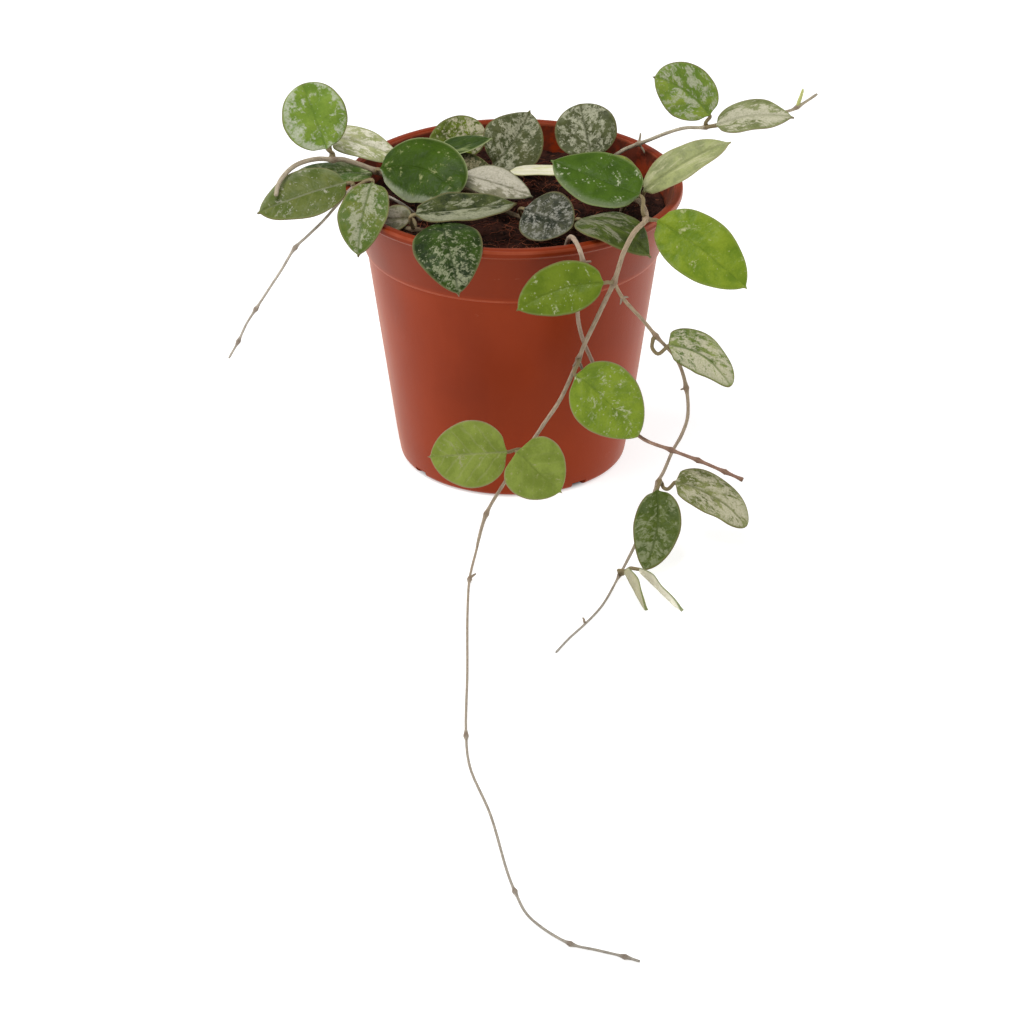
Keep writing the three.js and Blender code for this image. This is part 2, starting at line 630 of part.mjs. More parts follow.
function addPiece(name, geometry, finish) {
  const material = new THREE.MeshStandardMaterial({ ...FINISH[finish], metalness: 0 });
  const mesh = new THREE.Mesh(geometry, material);
  mesh.name = name;
  plant.add(mesh);
}

addPiece('pot', potGeometry(), 'pot');
addPiece('soil', soilGeometry(), 'soil');
for (const name of Object.keys(STEMS)) addPiece(`stem_${name}`, wholeStemGeometry(name), 'stem');
for (const leaf of LEAVES) addPiece(`leaf_${leaf.name}`, leafGeometry(leaf), leaf.color);

export default plant;
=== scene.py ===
"""A young silver-splashed hoya in a round plastic nursery pot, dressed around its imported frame.

Shapes are given in millimetres and made in metres. +Z is up, and the runners trail towards -Y.
"""

import random
from math import copysign, cos, exp, hypot, pi, radians, sin, sqrt
from types import SimpleNamespace

import bpy
import numpy as np
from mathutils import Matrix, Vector, noise
from numpy.linalg import norm


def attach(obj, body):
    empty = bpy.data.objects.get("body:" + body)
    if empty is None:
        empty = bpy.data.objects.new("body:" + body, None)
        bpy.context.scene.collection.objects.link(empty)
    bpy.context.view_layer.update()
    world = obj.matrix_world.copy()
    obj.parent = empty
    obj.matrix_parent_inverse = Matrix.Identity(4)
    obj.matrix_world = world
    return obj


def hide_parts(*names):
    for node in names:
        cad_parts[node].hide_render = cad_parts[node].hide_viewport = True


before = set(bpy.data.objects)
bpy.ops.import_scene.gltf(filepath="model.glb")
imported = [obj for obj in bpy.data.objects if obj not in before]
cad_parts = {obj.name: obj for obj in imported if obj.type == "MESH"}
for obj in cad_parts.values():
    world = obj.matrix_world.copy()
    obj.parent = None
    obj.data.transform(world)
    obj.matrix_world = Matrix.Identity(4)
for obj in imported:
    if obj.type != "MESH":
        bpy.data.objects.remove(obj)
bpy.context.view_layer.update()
MM = 0.001

# ---- the pot and the soil, as in the frame ----
POT_HEIGHT = 104
RIM_RADIUS = 60
LIP_HEIGHT = 2.8
LIP_OVERHANG = 1.6
COLLAR_Z = 81
COLLAR_RADIUS = 52.5
COLLAR_STEP = 0.7
COLLAR_TOP_Z = POT_HEIGHT - LIP_HEIGHT - 1
FOOT_RADIUS = 40.5
FOOT_ROUND_Z = 8
WALL = 1.6
FLOOR = 2
DRAIN_HOLES = dict(count=6, circle=24, radius=3.5)
FOOT_NOTCHES = dict(count=4, first_angle=-0.95, width=6, height=2.6)
SOIL_TOP = 94
SOIL_BUMP = 0.7

# ---- stems and leaves, as in the frame ----
CLEARANCE = 0.35
NODE_SWELL = 0.35
NODE_LENGTH = 1.5
PETIOLE_RADIUS = 0.65
BLADE_EDGE = 0.6
BLADE_MIDDLE = 1.1
BEAK_LENGTH = 0.9
BEAK_SLOPE = 0.6

# ---- how they are drawn ----
POT_SEGMENTS = 160
POT_SHARP_ANGLE = 32
STEM_SIDES = 14
STEM_STEPS = 9
RIDGE_HEIGHT = 0.12
RIDGE_LENGTH = 0.35
PETIOLE_STEPS = 10
BLADE_STEPS = 44
BLADE_COLUMNS = 27

# Below LYING_HEIGHT a stem lies on the surface, drawn SETTLE lower and SLENDER times as thick.
LYING_HEIGHT = 4
SETTLE = 0.42
SLENDER = 0.78

# How much a spur is coloured like a swollen joint. The bud, the only spur of its radius, has a
# value that no joint reaches.
SPUR_KNOB = 0.6
BUD_KNOB = 2
BUD_RADIUS = 0.7


def stem_of(*route, radius, nodes, thin_at=None, slim=1, bark=("#77684f", "#77684f")):
    """A stem for the table below."""
    return SimpleNamespace(**locals())


# Each route runs from inside the soil to the tip, and `nodes` are the numbers of its points that
# are swollen joints. The stem thins from the first radius to the second, which it has from point
# `thin_at` on. It is drawn `slim` times as thick as its solid, and `bark` is its colour at the
# soil and at the tip. The branch grows out of the front stem at a joint outside the pot.
STEMS = {
    "front": stem_of(
        [38, 0, 78], [38, -1, 90], [39.5, -5, 98], [42.5, -15, 104], [45, -28, 107], [45.8, -39.4, 107],
        [41, -55.5, 108.5], [37.6, -61, 103.8], [34.5, -62, 93.4], [31.8, -62, 87], [28, -62, 78],
        [24.8, -62, 70.5], [22.6, -62, 64.4], [16.3, -63, 49.3], [11, -64, 41], [6.6, -65, 34.1],
        [4.2, -66, 30.7], [-3.4, -70, 19.9], [-9.2, -75, 11.2], [-12.8, -85, 1.8], [-14.8, -104, 1.5],
        [-15.3, -127, 1], [-15, -168, 1], [-15, -210, 1.3], [-13.6, -229, 1], [-7, -258, 1],
        [-1.8, -291, 1], [0.6, -303, 1.3], [5, -317, 1], [17, -332, 1.3], [25, -335, 1], [33, -339, 1.3],
        [37.3, -341, 1],
        radius=[1.15, 0.6], thin_at=19, slim=0.92, bark=["#a38d70", "#a29c91"],
        nodes=[3, 5, 8, 12, 16, 18, 20, 23, 27, 29, 31],
    ),
    "dry": stem_of(
        [17, -38, 78], [17.3, -39.5, 90], [18.3, -45, 99], [20, -52.5, 106], [22.3, -58.5, 105],
        [23.9, -60.8, 100], [23, -58.4, 88.6], [22.3, -54, 77.8], [23.5, -53, 70], [25.7, -52.5, 63.4],
        [34.5, -53, 44.4], [43.8, -60, 34], [54.7, -69, 33], [64, -71, 30], [73.4, -72, 26],
        [79.6, -73, 23.4],
        radius=[1.15, 0.7], slim=0.8, bark=["#b3a28c", "#94705f"], nodes=[5, 12, 13, 14, 15],
    ),
    "left_low": stem_of(
        [-30, -8, 78], [-31, -10, 90], [-36, -13, 99], [-46, -15, 106], [-55.4, -15, 108.2],
        [-61.6, -18.2, 102.7], [-66, -20.4, 98.2], [-71.4, -22.1, 93.3], [-76, -23, 89], [-81, -23, 80.5],
        [-86.7, -22, 71], [-90.4, -22, 65], [-94, -21, 58.7], [-97, -21, 52], [-100.6, -20, 45],
        radius=[0.85, 0.6], slim=0.7, bark=["#bdb4a4", "#b5ada0"], nodes=[4, 8, 11, 13],
    ),
    "left_high": stem_of(
        [-27, 7, 78], [-28, 6, 90], [-36, 3, 100], [-48.2, 0.6, 108], [-59.7, 1.5, 112],
        [-63.1, -0.9, 113], [-68.6, -4, 114.5], [-75, -8.5, 114.5], [-79, -13, 113], [-81.6, -17.4, 110.5],
        [-82.4, -20.5, 107.5],
        radius=[1.1, 0.9], slim=0.88, bark=["#8a7a62", "#aca08a"], nodes=[3, 5],
    ),
    "right": stem_of(
        [30, 34, 78], [31, 34, 90], [34, 34.5, 97], [39, 34, 101.5], [45.2, 29.3, 106.5],
        [48.7, 26.7, 109], [55, 26, 112], [61.4, 27, 113.5], [69, 29, 113], [84.8, 35, 115.3],
        [99, 37, 116], [102, 37, 117.5], [109, 37, 122.5],
        radius=[0.95, 0.6], slim=0.82, bark=["#c6bca2", "#aea48e"], nodes=[4, 8, 11],
    ),
    "heart": stem_of(
        [-41, -23, 78], [-41, -25, 90], [-39, -30, 99], [-34, -36, 101.5], [-27, -37, 101],
        [-20, -34, 98.5], [-13, -29, 97],
        radius=[0.9, 0.75], nodes=[3, 4],
    ),
    "back": stem_of(
        [-31, 34, 78], [-31, 33.5, 90], [-28, 32, 97.5], [-18, 31, 98], [-9, 29, 97.5], [3, 26, 97],
        [15, 29, 97], [26, 33, 98], [31, 28, 96.8],
        radius=[0.9, 0.75], nodes=[2, 4, 5, 7],
    ),
    "middle": stem_of(
        [-22, 9, 78], [-22, 8, 90], [-20, 3, 99], [-17, -1, 102], [-10, -4, 99], [-3, -9, 97],
        [4, -16, 97.2], [13, -22, 97.2], [22, -28, 98.5], [29, -27, 97],
        radius=[0.9, 0.75], nodes=[2, 3, 6, 8],
    ),
    "branch": stem_of(
        [34.5, -62, 93.4], [37.3, -61, 87.4], [45.2, -58, 76.6], [49.3, -57, 70.8], [56.7, -57, 61.7],
        [60, -58, 51.5], [60.6, -60, 41.3], [58.4, -62, 35], [55.6, -63.5, 30.2], [52.4, -68, 24.3],
        [50.3, -72, 22.1], [45.6, -84, 13.5], [41.4, -90, 5.3], [36.5, -102.4, 2.2], [30.2, -122, 1],
        [24.2, -135, 1], [19, -144.5, 1], [14.3, -154.5, 1],
        radius=[0.8, 0.6], slim=0.84, nodes=[3, 5, 10, 13],
    ),
}

# Short rootlets, dried stubs and a bud: the route point it grows from, its far end, its radius.
SPURS = {
    "front": [
        (12, [20.6, -63, 62], 0.6), (12, [24.2, -63, 59], 0.6), (18, [-9.8, -76, 9], 0.5),
        (20, [-12.6, -101, 1.6], 0.45),
    ],
    "branch": [
        (1, [36.6, -62, 85], 0.45), (1, [39.4, -62, 87.6], 0.45), (5, [58, -58.6, 51], 0.45),
        (15, [23.4, -131.6, 1.1], 0.45),
    ],
    "dry": [(5, [26.6, -62, 101], 0.6), (5, [25.8, -63, 98.6], 0.6)],
    "right": [
        (4, [45.6, 30, 110.4], 0.45), (4, [47.2, 28.6, 103], 0.45), (11, [103.8, 37, 124.5], BUD_RADIUS),
    ],
}


def leaf_of(
    stem, node, slot, colors, base, tip, up, width, round=0.55, point=0.7, arch=0, cup=1, bend=0,
    blunt=False, via=(), **look,
):
    """A leaf for the table below."""
    return SimpleNamespace(**locals())


# A leaf grows from a numbered point of its stem. After its slot come its light green, dark green
# and silver, the base and tip of its blade, where its upper face looks and its width. `arch`
# lifts its middle, `cup` lifts its edges and `bend` bows its midrib to the right. The smaller
# `round` and `point` are, the blunter its ends are. A `blunt` one has no small point at its tip.
# Its stalk passes `via`. `cover` is the share that is silver, in patches `grain` mm wide that are
# `streak` times as long along the veins, which leave the midrib at `slant` degrees. `side` puts
# them on the right half (or, below 0, the left), `along` towards the tip and `middle` towards the
# midrib. `specks` is the share of small dots, `veins` how clearly the side veins show and
# `film` the grey painted sheen near the right margin (or, below 0, the left). `rib`
# darkens the midrib (or, below 0, makes it pale), `edge` is the colour of the dry margin and
# `under` that of the lower face.
LEAVES = {
    "left_1": leaf_of(
        "left_high", 5, "green", ["#7b9238", "#627d2c", "#b3b8a0"], [-65, -1, 117], [-73.8, 7.7, 138],
        [-0.1, -0.88, 0.46], 23, round=0.5, point=0.5, blunt=True, cover=0.5, grain=2.2, streak=1.1,
        side=-0.7, along=-0.4, middle=-0.8, rib=0.5,
    ),
    "left_2": leaf_of(
        "left_high", 5, "silver", ["#b5b688", "#939a64", "#e3deca"], [-64.5, 14.5, 114.8],
        [-38, 15.6, 104.7], [0, -0.5, 0.87], 13.5, round=0.35, arch=1.5, bend=-0.5,
        via=[[-64, 4, 113.2], [-64.6, 9, 113.9]], cover=0.6, grain=1, streak=2.5, slant=8, specks=0.05,
        rib=0.1, edge="#8f8b6c",
    ),
    "left_3": leaf_of(
        "left_high", 3, "dark", ["#54642d", "#435c21", "#989c7a"], [-49, 5, 105.6], [-78, 2, 106.2],
        [0, -0.05, 1], 18, cup=0.5, cover=0.4, grain=1.3, specks=0.1,
    ),
    "left_4": leaf_of(
        "left_high", 3, "dark", ["#3a520b", "#2b4007", "#919664"], [-46.5, -5, 110.9], [-19.3, -21, 108.4],
        [0, -0.75, 0.66], 25.5, round=0.5, point=0.5, arch=1, cup=-1, bend=-4.4, blunt=True, cover=0.1,
        grain=1.8, streak=1.1, specks=0.06, film=0.75, rib=0, edge="#8f9a6b",
    ),
    "left_5": leaf_of(
        "left_low", 4, "green", ["#656d35", "#4c5a23", "#adaa98"], [-58, -14, 109.5], [-89, -21, 101],
        [0, -0.55, 0.83], 20, arch=1.5, cover=0.14, grain=1, specks=0.22, veins=0.05, film=0.25, rib=-0.25,
    ),
    "left_6": leaf_of(
        "left_low", 4, "silver", ["#646d2e", "#495e26", "#999a7f"], [-48.5, -24.5, 114],
        [-53.3, -44, 94.6], [-0.3, -0.7, 0.64], 18.5, arch=2.5, cover=0.5, grain=1.1, streak=1.3, middle=1,
        specks=0.15,
    ),
    "heart_1": leaf_of(
        "heart", 3, "silver", ["#716852", "#57563a", "#908878"], [-35, -33.2, 104.3], [-48, -21.4, 98.8],
        [0, -0.75, 0.65], 10.5, cover=0.5, streak=2.5, slant=10, specks=0.05, film=0.3,
    ),
    "heart_2": leaf_of(
        "heart", 3, "silver", ["#4f562d", "#262f1a", "#929379"], [-33.6, -41, 109.3], [1.4, -30.5, 108.8],
        [0, -0.3, 0.95], 15.5, cup=1.5, cover=0.5, grain=1.1, streak=2.5, slant=14, side=1.7, specks=0.1,
    ),
    "heart_3": leaf_of(
        "heart", 4, "dark", ["#334812", "#1a290b", "#8b8f70"], [-25, -42, 106.5], [-18.2, -72, 92.5],
        [0, -0.6, 0.8], 24, arch=6, cup=-1, cover=0.34, grain=0.7, streak=1.25, along=0.9, middle=0.5,
        specks=0.25,
    ),
    "back_1": leaf_of(
        "back", 2, "green", ["#6c7b23", "#404b14", "#bdb699"], [-30, 31, 102.6], [-8.8, 35, 107.8],
        [0, -0.8, 0.6], 16.5, point=0.45, arch=1.5, bend=-1.2, cover=0.42, grain=0.75, streak=1.3,
        along=1.3, specks=0.35,
    ),
    "back_2": leaf_of(
        "back", 2, "dark", ["#3c4f1c", "#2d4015", "#7f8a58"], [-28, 15, 107], [-7.2, 19, 112.4],
        [0, -0.1, 1], 12.5, arch=1, cover=0.2, streak=3, slant=10, specks=0.03, edge="#a3ad7c",
    ),
    "back_3": leaf_of(
        "back", 4, "silver", ["#555834", "#474e2e", "#a6a58b"], [-6.9, 22.8, 101], [6.2, 30.4, 119],
        [-0.2, -0.85, 0.5], 23, bend=1.5, cover=0.47, grain=0.85, streak=1.3, middle=0.5, specks=0.3,
    ),
    "back_4": leaf_of(
        "back", 7, "silver", ["#5e643e", "#464a2e", "#b6b69b"], [28.4, 28, 101.5], [24, 38.6, 118],
        [0, -0.85, 0.5], 22.5, round=0.5, point=0.5, blunt=True, cover=0.47, grain=1, streak=1.3,
        middle=0.5, specks=0.3,
    ),
    "back_5": leaf_of(
        "back", 5, "silver", ["#cec9a0", "#c5c98e", "#ded8c4"], [-0.9, 12, 102.9], [19, 6.2, 104.8],
        [0, 0.1, 1], 14.5, via=[[3.2, 20.5, 97.8], [0.9, 15.5, 100.6]], cover=0.84, streak=4, slant=6,
        specks=0.02,
    ),
    "middle_4": leaf_of(
        "middle", 2, "silver", ["#454723", "#2c340f", "#8c8466"], [-24.5, 8, 103], [-7.4, 11.5, 105.4],
        [0, -0.55, 0.83], 15, cover=0.5, grain=1.2, specks=0.3,
    ),
    "middle_1": leaf_of(
        "middle", 3, "silver", ["#858169", "#64634c", "#bdb7a5"], [-17.8, -6, 109], [7, -14, 104],
        [0, -0.3, 0.95], 16, arch=1, cover=0.76, grain=1.3, streak=2, slant=12, side=-1.3, middle=0.3,
        specks=0.05, rib=0.1, edge="#6f6d5a",
    ),
    "middle_2": leaf_of(
        "middle", 6, "silver", ["#545541", "#22281c", "#959489"], [4.1, -24, 104], [20.6, -37, 102.5],
        [0.1, -0.7, 0.7], 21, blunt=True, cover=0.45, grain=0.8, streak=1.3, specks=0.4, film=0.12,
    ),
    "middle_3": leaf_of(
        "middle", 8, "dark", ["#4c591e", "#303b13", "#7a7962"], [23.6, -35.6, 105], [47.2, -54.3, 99],
        [0, 0, 1], 21.8, arch=5, cup=-0.5, bend=1.3, cover=0.42, grain=1, streak=3, slant=10, along=-1.2,
        specks=0.1,
    ),
    "right_1": leaf_of(
        "right", 8, "green", ["#809138", "#60792d", "#a9ac90"], [70.3, 30, 117], [49.8, 32.5, 130.9],
        [0.1, -0.87, 0.48], 20, round=0.5, point=0.55, bend=2.3, cover=0.44, grain=1.1, streak=1.6,
        slant=38, middle=0.2, specks=0.12, rib=0.65,
    ),
    "right_2": leaf_of(
        "right", 8, "silver", ["#8b9063", "#676e41", "#c0bca3"], [72.5, 26.5, 114.5], [100.1, 24.7, 118.2],
        [0, -0.45, 0.9], 15.3, arch=1.5, bend=-1.3, cover=0.6, grain=1.2, streak=2.2, slant=16, middle=1.4,
        specks=0.1, rib=-0.5, edge="#8a7a68",
    ),
    "front_1": leaf_of(
        "front", 3, "green", ["#7d872e", "#5e6a20", "#b8b684"], [43, -9.3, 107.5], [23, 6, 109.8],
        [0, -0.4, 0.9], 17, cover=0.1, specks=0.05,
    ),
    "front_2": leaf_of(
        "front", 3, "silver", ["#a2a86f", "#81875a", "#b3b389"], [45.5, -20.5, 109], [75.9, -11.5, 124],
        [0, -0.5, 0.87], 13.5, arch=1.5, cup=1.5, bend=-1, via=[[45.2, -17.2, 106]], cover=0.52, grain=1.5,
        streak=5, slant=4, specks=0.06, rib=0.45, edge="#9a8f68",
    ),
    "front_3": leaf_of(
        "front", 5, "dark", ["#445e16", "#354d10", "#c0c4a6"], [43.9, -31, 112], [13.3, -14.2, 118],
        [0, -0.5, 0.87], 23.5, round=0.5, cover=0.02, specks=0.07, film=-0.3, rib=0.15, edge="#6f7f48",
    ),
    "front_4": leaf_of(
        "front", 5, "green", ["#7e9128", "#60791d", "#b6b786"], [49.6, -39.5, 106.5], [80.4, -53, 86.8],
        [0.1, -0.8, 0.6], 23, arch=1, bend=-1, cover=0.05, specks=0.08, edge="#7d8438",
    ),
    "front_5": leaf_of(
        "front", 8, "green", ["#6a7c21", "#566a18", "#b4b891"], [31, -66, 94.9], [1.1, -71, 86.7],
        [0, -0.9, 0.43], 18.3, bend=2.5, cover=0.07, specks=0.4,
    ),
    "front_6": leaf_of(
        "front", 12, "green", ["#80942c", "#637a22", "#b4b890"], [21.4, -66, 60.3], [43, -66, 36.5],
        [0.05, -0.88, 0.46], 24.5, round=0.5, bend=-1.5, blunt=True, cover=0.2, grain=1, middle=0.3,
        specks=0.35, veins=0.05, edge="#8c7a62",
    ),
    "front_7": leaf_of(
        "front", 16, "green", ["#859342", "#728133", "#9a9c6f"], [-1.9, -67.6, 31.5], [-29.3, -72, 31.8],
        [0, -0.88, 0.46], 23.5, round=0.5, point=0.6, cover=0.1, specks=0.12, veins=0.22, rib=-0.35,
        edge="#8c7a62",
    ),
    "front_8": leaf_of(
        "front", 16, "green", ["#839240", "#6d7c30", "#999a69"], [1.2, -73, 34.3], [17, -77, 20.3],
        [0.1, -0.85, 0.5], 23, round=0.36, point=0.6, via=[[4.2, -69, 32.2]], cover=0.06, specks=0.25,
        veins=0.08, edge="#8c7a62",
    ),
    "branch_1": leaf_of(
        "branch", 3, "silver", ["#858f50", "#4d6129", "#bbb69b"], [53.4, -59, 68], [74.9, -62, 53.8],
        [0.35, -0.6, 0.72], 16, round=0.32, point=0.55, bend=-4.2, blunt=True,
        via=[[48, -58.5, 67], [50, -59.5, 65.2]], cover=0.74, grain=0.8, streak=2, slant=20, side=0.8,
        along=0.5, specks=0.15,
    ),
    "branch_2": leaf_of(
        "branch", 10, "silver", ["#858955", "#565e2d", "#b5b095"], [56, -74, 23], [80.7, -80, 8.7],
        [0.4, -0.55, 0.73], 16.5, round=0.34, point=0.5, arch=1, bend=-2.6, blunt=True,
        via=[[52.2, -74, 20.8], [53.6, -74.5, 20.6]], cover=0.68, grain=0.9, streak=1.8, slant=15,
        along=0.6, specks=0.15,
    ),
    "branch_3": leaf_of(
        "branch", 10, "dark", ["#546223", "#404f18", "#828865"], [49.8, -77, 21.5], [44.6, -101.5, 2.5],
        [-0.1, -0.6, 0.79], 16.5, bend=-2.3, cover=0.46, grain=1.3, along=0.7, specks=0.25, rib=0.45,
    ),
    "branch_4": leaf_of(
        "branch", 13, "silver", ["#aca577", "#999361", "#aca585"], [38.5, -105.5, 5], [45, -131.5, 4],
        [0.95, 0.3, 0.1], 9, via=[[36.2, -104.3, 4.6]], cover=0.8, streak=5, slant=5, specks=0.02,
        edge="#5d6a34", under="#a9a484",
    ),
    "branch_5": leaf_of(
        "branch", 13, "silver", ["#ffffee", "#bec38c", "#ffffff"], [43.5, -104.5, 5], [57, -132, 4],
        [0.65, 0.5, 0.5], 10, via=[[40, -101, 3.6], [41.5, -102.6, 4.4]], cover=0.8, streak=5, slant=5,
        specks=0.02, edge="#5d6a34", under="#f2eed8",
    ),
}


# ---- small helpers ----
def vec(*values):
    return np.array(values, float)


def mix(a, b, t):
    return a + (b - a) * t


def smooth(t):
    t = np.clip(t, 0, 1)
    return t * t * (3 - 2 * t)


def unit(v):
    return v / norm(v)


def wobble(x, y, z):
    """Smooth noise from about -1 to 1."""
    return noise.noise(Vector((x, y, z)))


def turns(count):
    """Angles that share out a full turn."""
    return np.linspace(0, 2 * pi, count, endpoint=False)


def rotation(angle, a, b):
    """A turn that takes axis a towards axis b."""
    found = np.eye(3)
    found[a, a] = found[b, b] = cos(angle)
    found[a, b], found[b, a] = -sin(angle), sin(angle)
    return found


def color(code):
    """A colour written as #rrggbb, as Blender's linear red, green, blue and alpha."""
    shares = [int(code[i : i + 2], 16) / 255 for i in (1, 3, 5)]
    linear = [c / 12.92 if c <= 0.04045 else ((c + 0.055) / 1.055) ** 2.4 for c in shares]
    return (*linear, 1)


def through(points, steps):
    """A centripetal spline through the points, with so many steps between each two of them."""
    p = [vec(*q) for q in points]
    p = [2 * p[0] - p[1], *p, 2 * p[-1] - p[-2]]
    curve = []
    for p0, p1, p2, p3 in zip(p, p[1:], p[2:], p[3:]):
        d0, d1, d2 = (norm(b - a) ** 0.5 for a, b in ((p0, p1), (p1, p2), (p2, p3)))
        out = ((p1 - p0) / d0 - (p2 - p0) / (d0 + d1) + (p2 - p1) / d1) * d1
        back = ((p2 - p1) / d1 - (p3 - p1) / (d1 + d2) + (p3 - p2) / d2) * d1
        square = 3 * (p2 - p1) - 2 * out - back
        cube = 2 * (p1 - p2) + out + back
        for t in (i / steps for i in range(steps)):
            curve.append(p1 + out * t + square * t**2 + cube * t**3)
    return np.array([*curve, p[-2]])


def bezier(a, b, c, d, steps):
    t = np.linspace(0, 1, steps + 1)[:, None]
    return a * (1 - t) ** 3 + 3 * b * t * (1 - t) ** 2 + 3 * c * t**2 * (1 - t) + d * t**3


def lengths(path):
    """How far along the path each of its points is."""
    return np.concatenate([[0], np.cumsum(norm(np.diff(path, axis=0), axis=1))])


def directions(path):
    along = np.gradient(path, axis=0)
    return along / norm(along, axis=1)[:, None]


def carried(side, along):
    """A sideways direction carried along a path, square to it everywhere."""
    found = []
    for direction in along:
        side = unit(side - direction * (side @ direction))
        found.append(side)
    return np.array(found)


# ---- meshes ----
def ring_faces(rows, sides, closed_rows=False):
    """Four-sided faces between rows of points, each row a closed ring."""
    faces = []
    for i in range(rows - 1):
        for j in range(sides):
            k = (j + 1) % sides
            faces.append((i * sides + j, i * sides + k, (i + 1) * sides + k, (i + 1) * sides + j))
    if closed_rows:
        faces.append(tuple(reversed(range(sides))))
        faces.append(tuple(range((rows - 1) * sides, rows * sides)))
    return faces


def link(name, data):
    made = bpy.data.objects.new(name, data)
    bpy.context.collection.objects.link(made)
    return made


def shape(name, points, faces):
    """A bare mesh object from points in millimetres."""
    mesh = bpy.data.meshes.new(name)
    mesh.from_pydata((np.asarray(points) * MM).tolist(), [], faces)
    return link(name, mesh)


def add_mesh(name, points, faces, material, **attributes):
    """A smooth object. Each attribute has a number, or three, for each point."""
    made = shape(name, points, faces)
    mesh = made.data
    for key, values in attributes.items():
        values = np.asarray(values, np.float32)
        kind, field = ("FLOAT_VECTOR", "vector") if values.ndim == 2 else ("FLOAT", "value")
        mesh.attributes.new(key, kind, "POINT").data.foreach_set(field, values.ravel())
    mesh.polygons.foreach_set("use_smooth", [True] * len(mesh.polygons))
    mesh.materials.append(material)
    mesh.validate()
    mesh.update()
    return made


def dress(piece, slot, *nodes):
    """The piece stands for these nodes of the frame. The slot is not used."""
    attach(piece, "root")
    if nodes:
        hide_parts(*nodes)


# ---- materials ----
class Value:
    """A number that a material's nodes work out."""

    def __init__(self, paint, socket):
        self.paint, self.socket = paint, socket

    def __add__(self, other):
        return self.paint.math("ADD", self, other)

    def __mul__(self, other):
        return self.paint.math("MULTIPLY", self, other)

    __radd__, __rmul__ = __add__, __mul__

    def __sub__(self, other):
        return self + other * -1

    def __abs__(self):
        return self.paint.math("ABSOLUTE", self)

    def step(self, low, high):
        """0 up to low, 1 from high, smooth between them. With low above high it falls instead."""
        sockets = {"Value": self, "From Min": low, "From Max": high}
        return self.paint.value("MapRange", sockets, interpolation_type="SMOOTHSTEP")


class Paint:
    """A material's nodes, with short calls for the usual ones."""

    def __init__(self, name, **shader):
        self.material = bpy.data.materials.new(name)
        self.material.use_nodes = True
        self.tree = self.material.node_tree
        for socket, value in shader.items():
            self.coat(socket.replace("_", " "), value)

    def coat(self, socket, value):
        self.put(self.tree.nodes["Principled BSDF"], socket, value)

    def put(self, node, socket, value):
        """Fills a socket with what another node gives, a #rrggbb colour or a plain value."""
        value = getattr(value, "socket", value)
        if isinstance(value, bpy.types.NodeSocket):
            self.tree.links.new(value, node.inputs[socket])
        else:
            node.inputs[socket].default_value = color(value) if isinstance(value, str) else value

    def node(self, kind, sockets=(), **settings):
        made = self.tree.nodes.new("ShaderNode" + kind)
        for key, value in settings.items():
            setattr(made, key, value)
        for socket, value in dict(sockets).items():
            self.put(made, socket, value)
        return made

    def value(self, kind, sockets=(), output=0, **settings):
        return Value(self, self.node(kind, sockets, **settings).outputs[output])

    def math(self, operation, *values):
        return self.value("Math", dict(enumerate(values)), operation=operation)

    def mix(self, share, a, b):
        return self.node("Mix", {0: share, 6: a, 7: b}, data_type="RGBA").outputs[2]

    def attribute(self, name, output="Fac"):
        return self.value("Attribute", output=output, attribute_name=name)

    def parts(self, name):
        """The three numbers of an attribute."""
        return self.split(self.attribute(name, "Vector"))

    def where(self):
        """Where a point is on its own object."""
        return self.node("TexCoord").outputs["Object"]

    def split(self, vector):
        return [Value(self, part) for part in self.node("SeparateXYZ", {0: vector}).outputs]

    def join(self, x, y, z):
        return self.node("CombineXYZ", {0: x, 1: y, 2: z}).outputs[0]

    def spots(self, where, scale, detail=2, roughness=0.5, distortion=0):
        """Cloudy noise around 0.5."""
        sockets = dict(Vector=where, Scale=scale, Detail=detail, Roughness=roughness)
        return self.value("TexNoise", {**sockets, "Distortion": distortion})

    def relief(self, height, depth):
        """Bumps the surface by `height` times `depth` in millimetres."""
        sockets = {"Height": height, "Distance": depth * MM, "Strength": 1}
        self.coat("Normal", self.node("Bump", sockets).outputs[0])


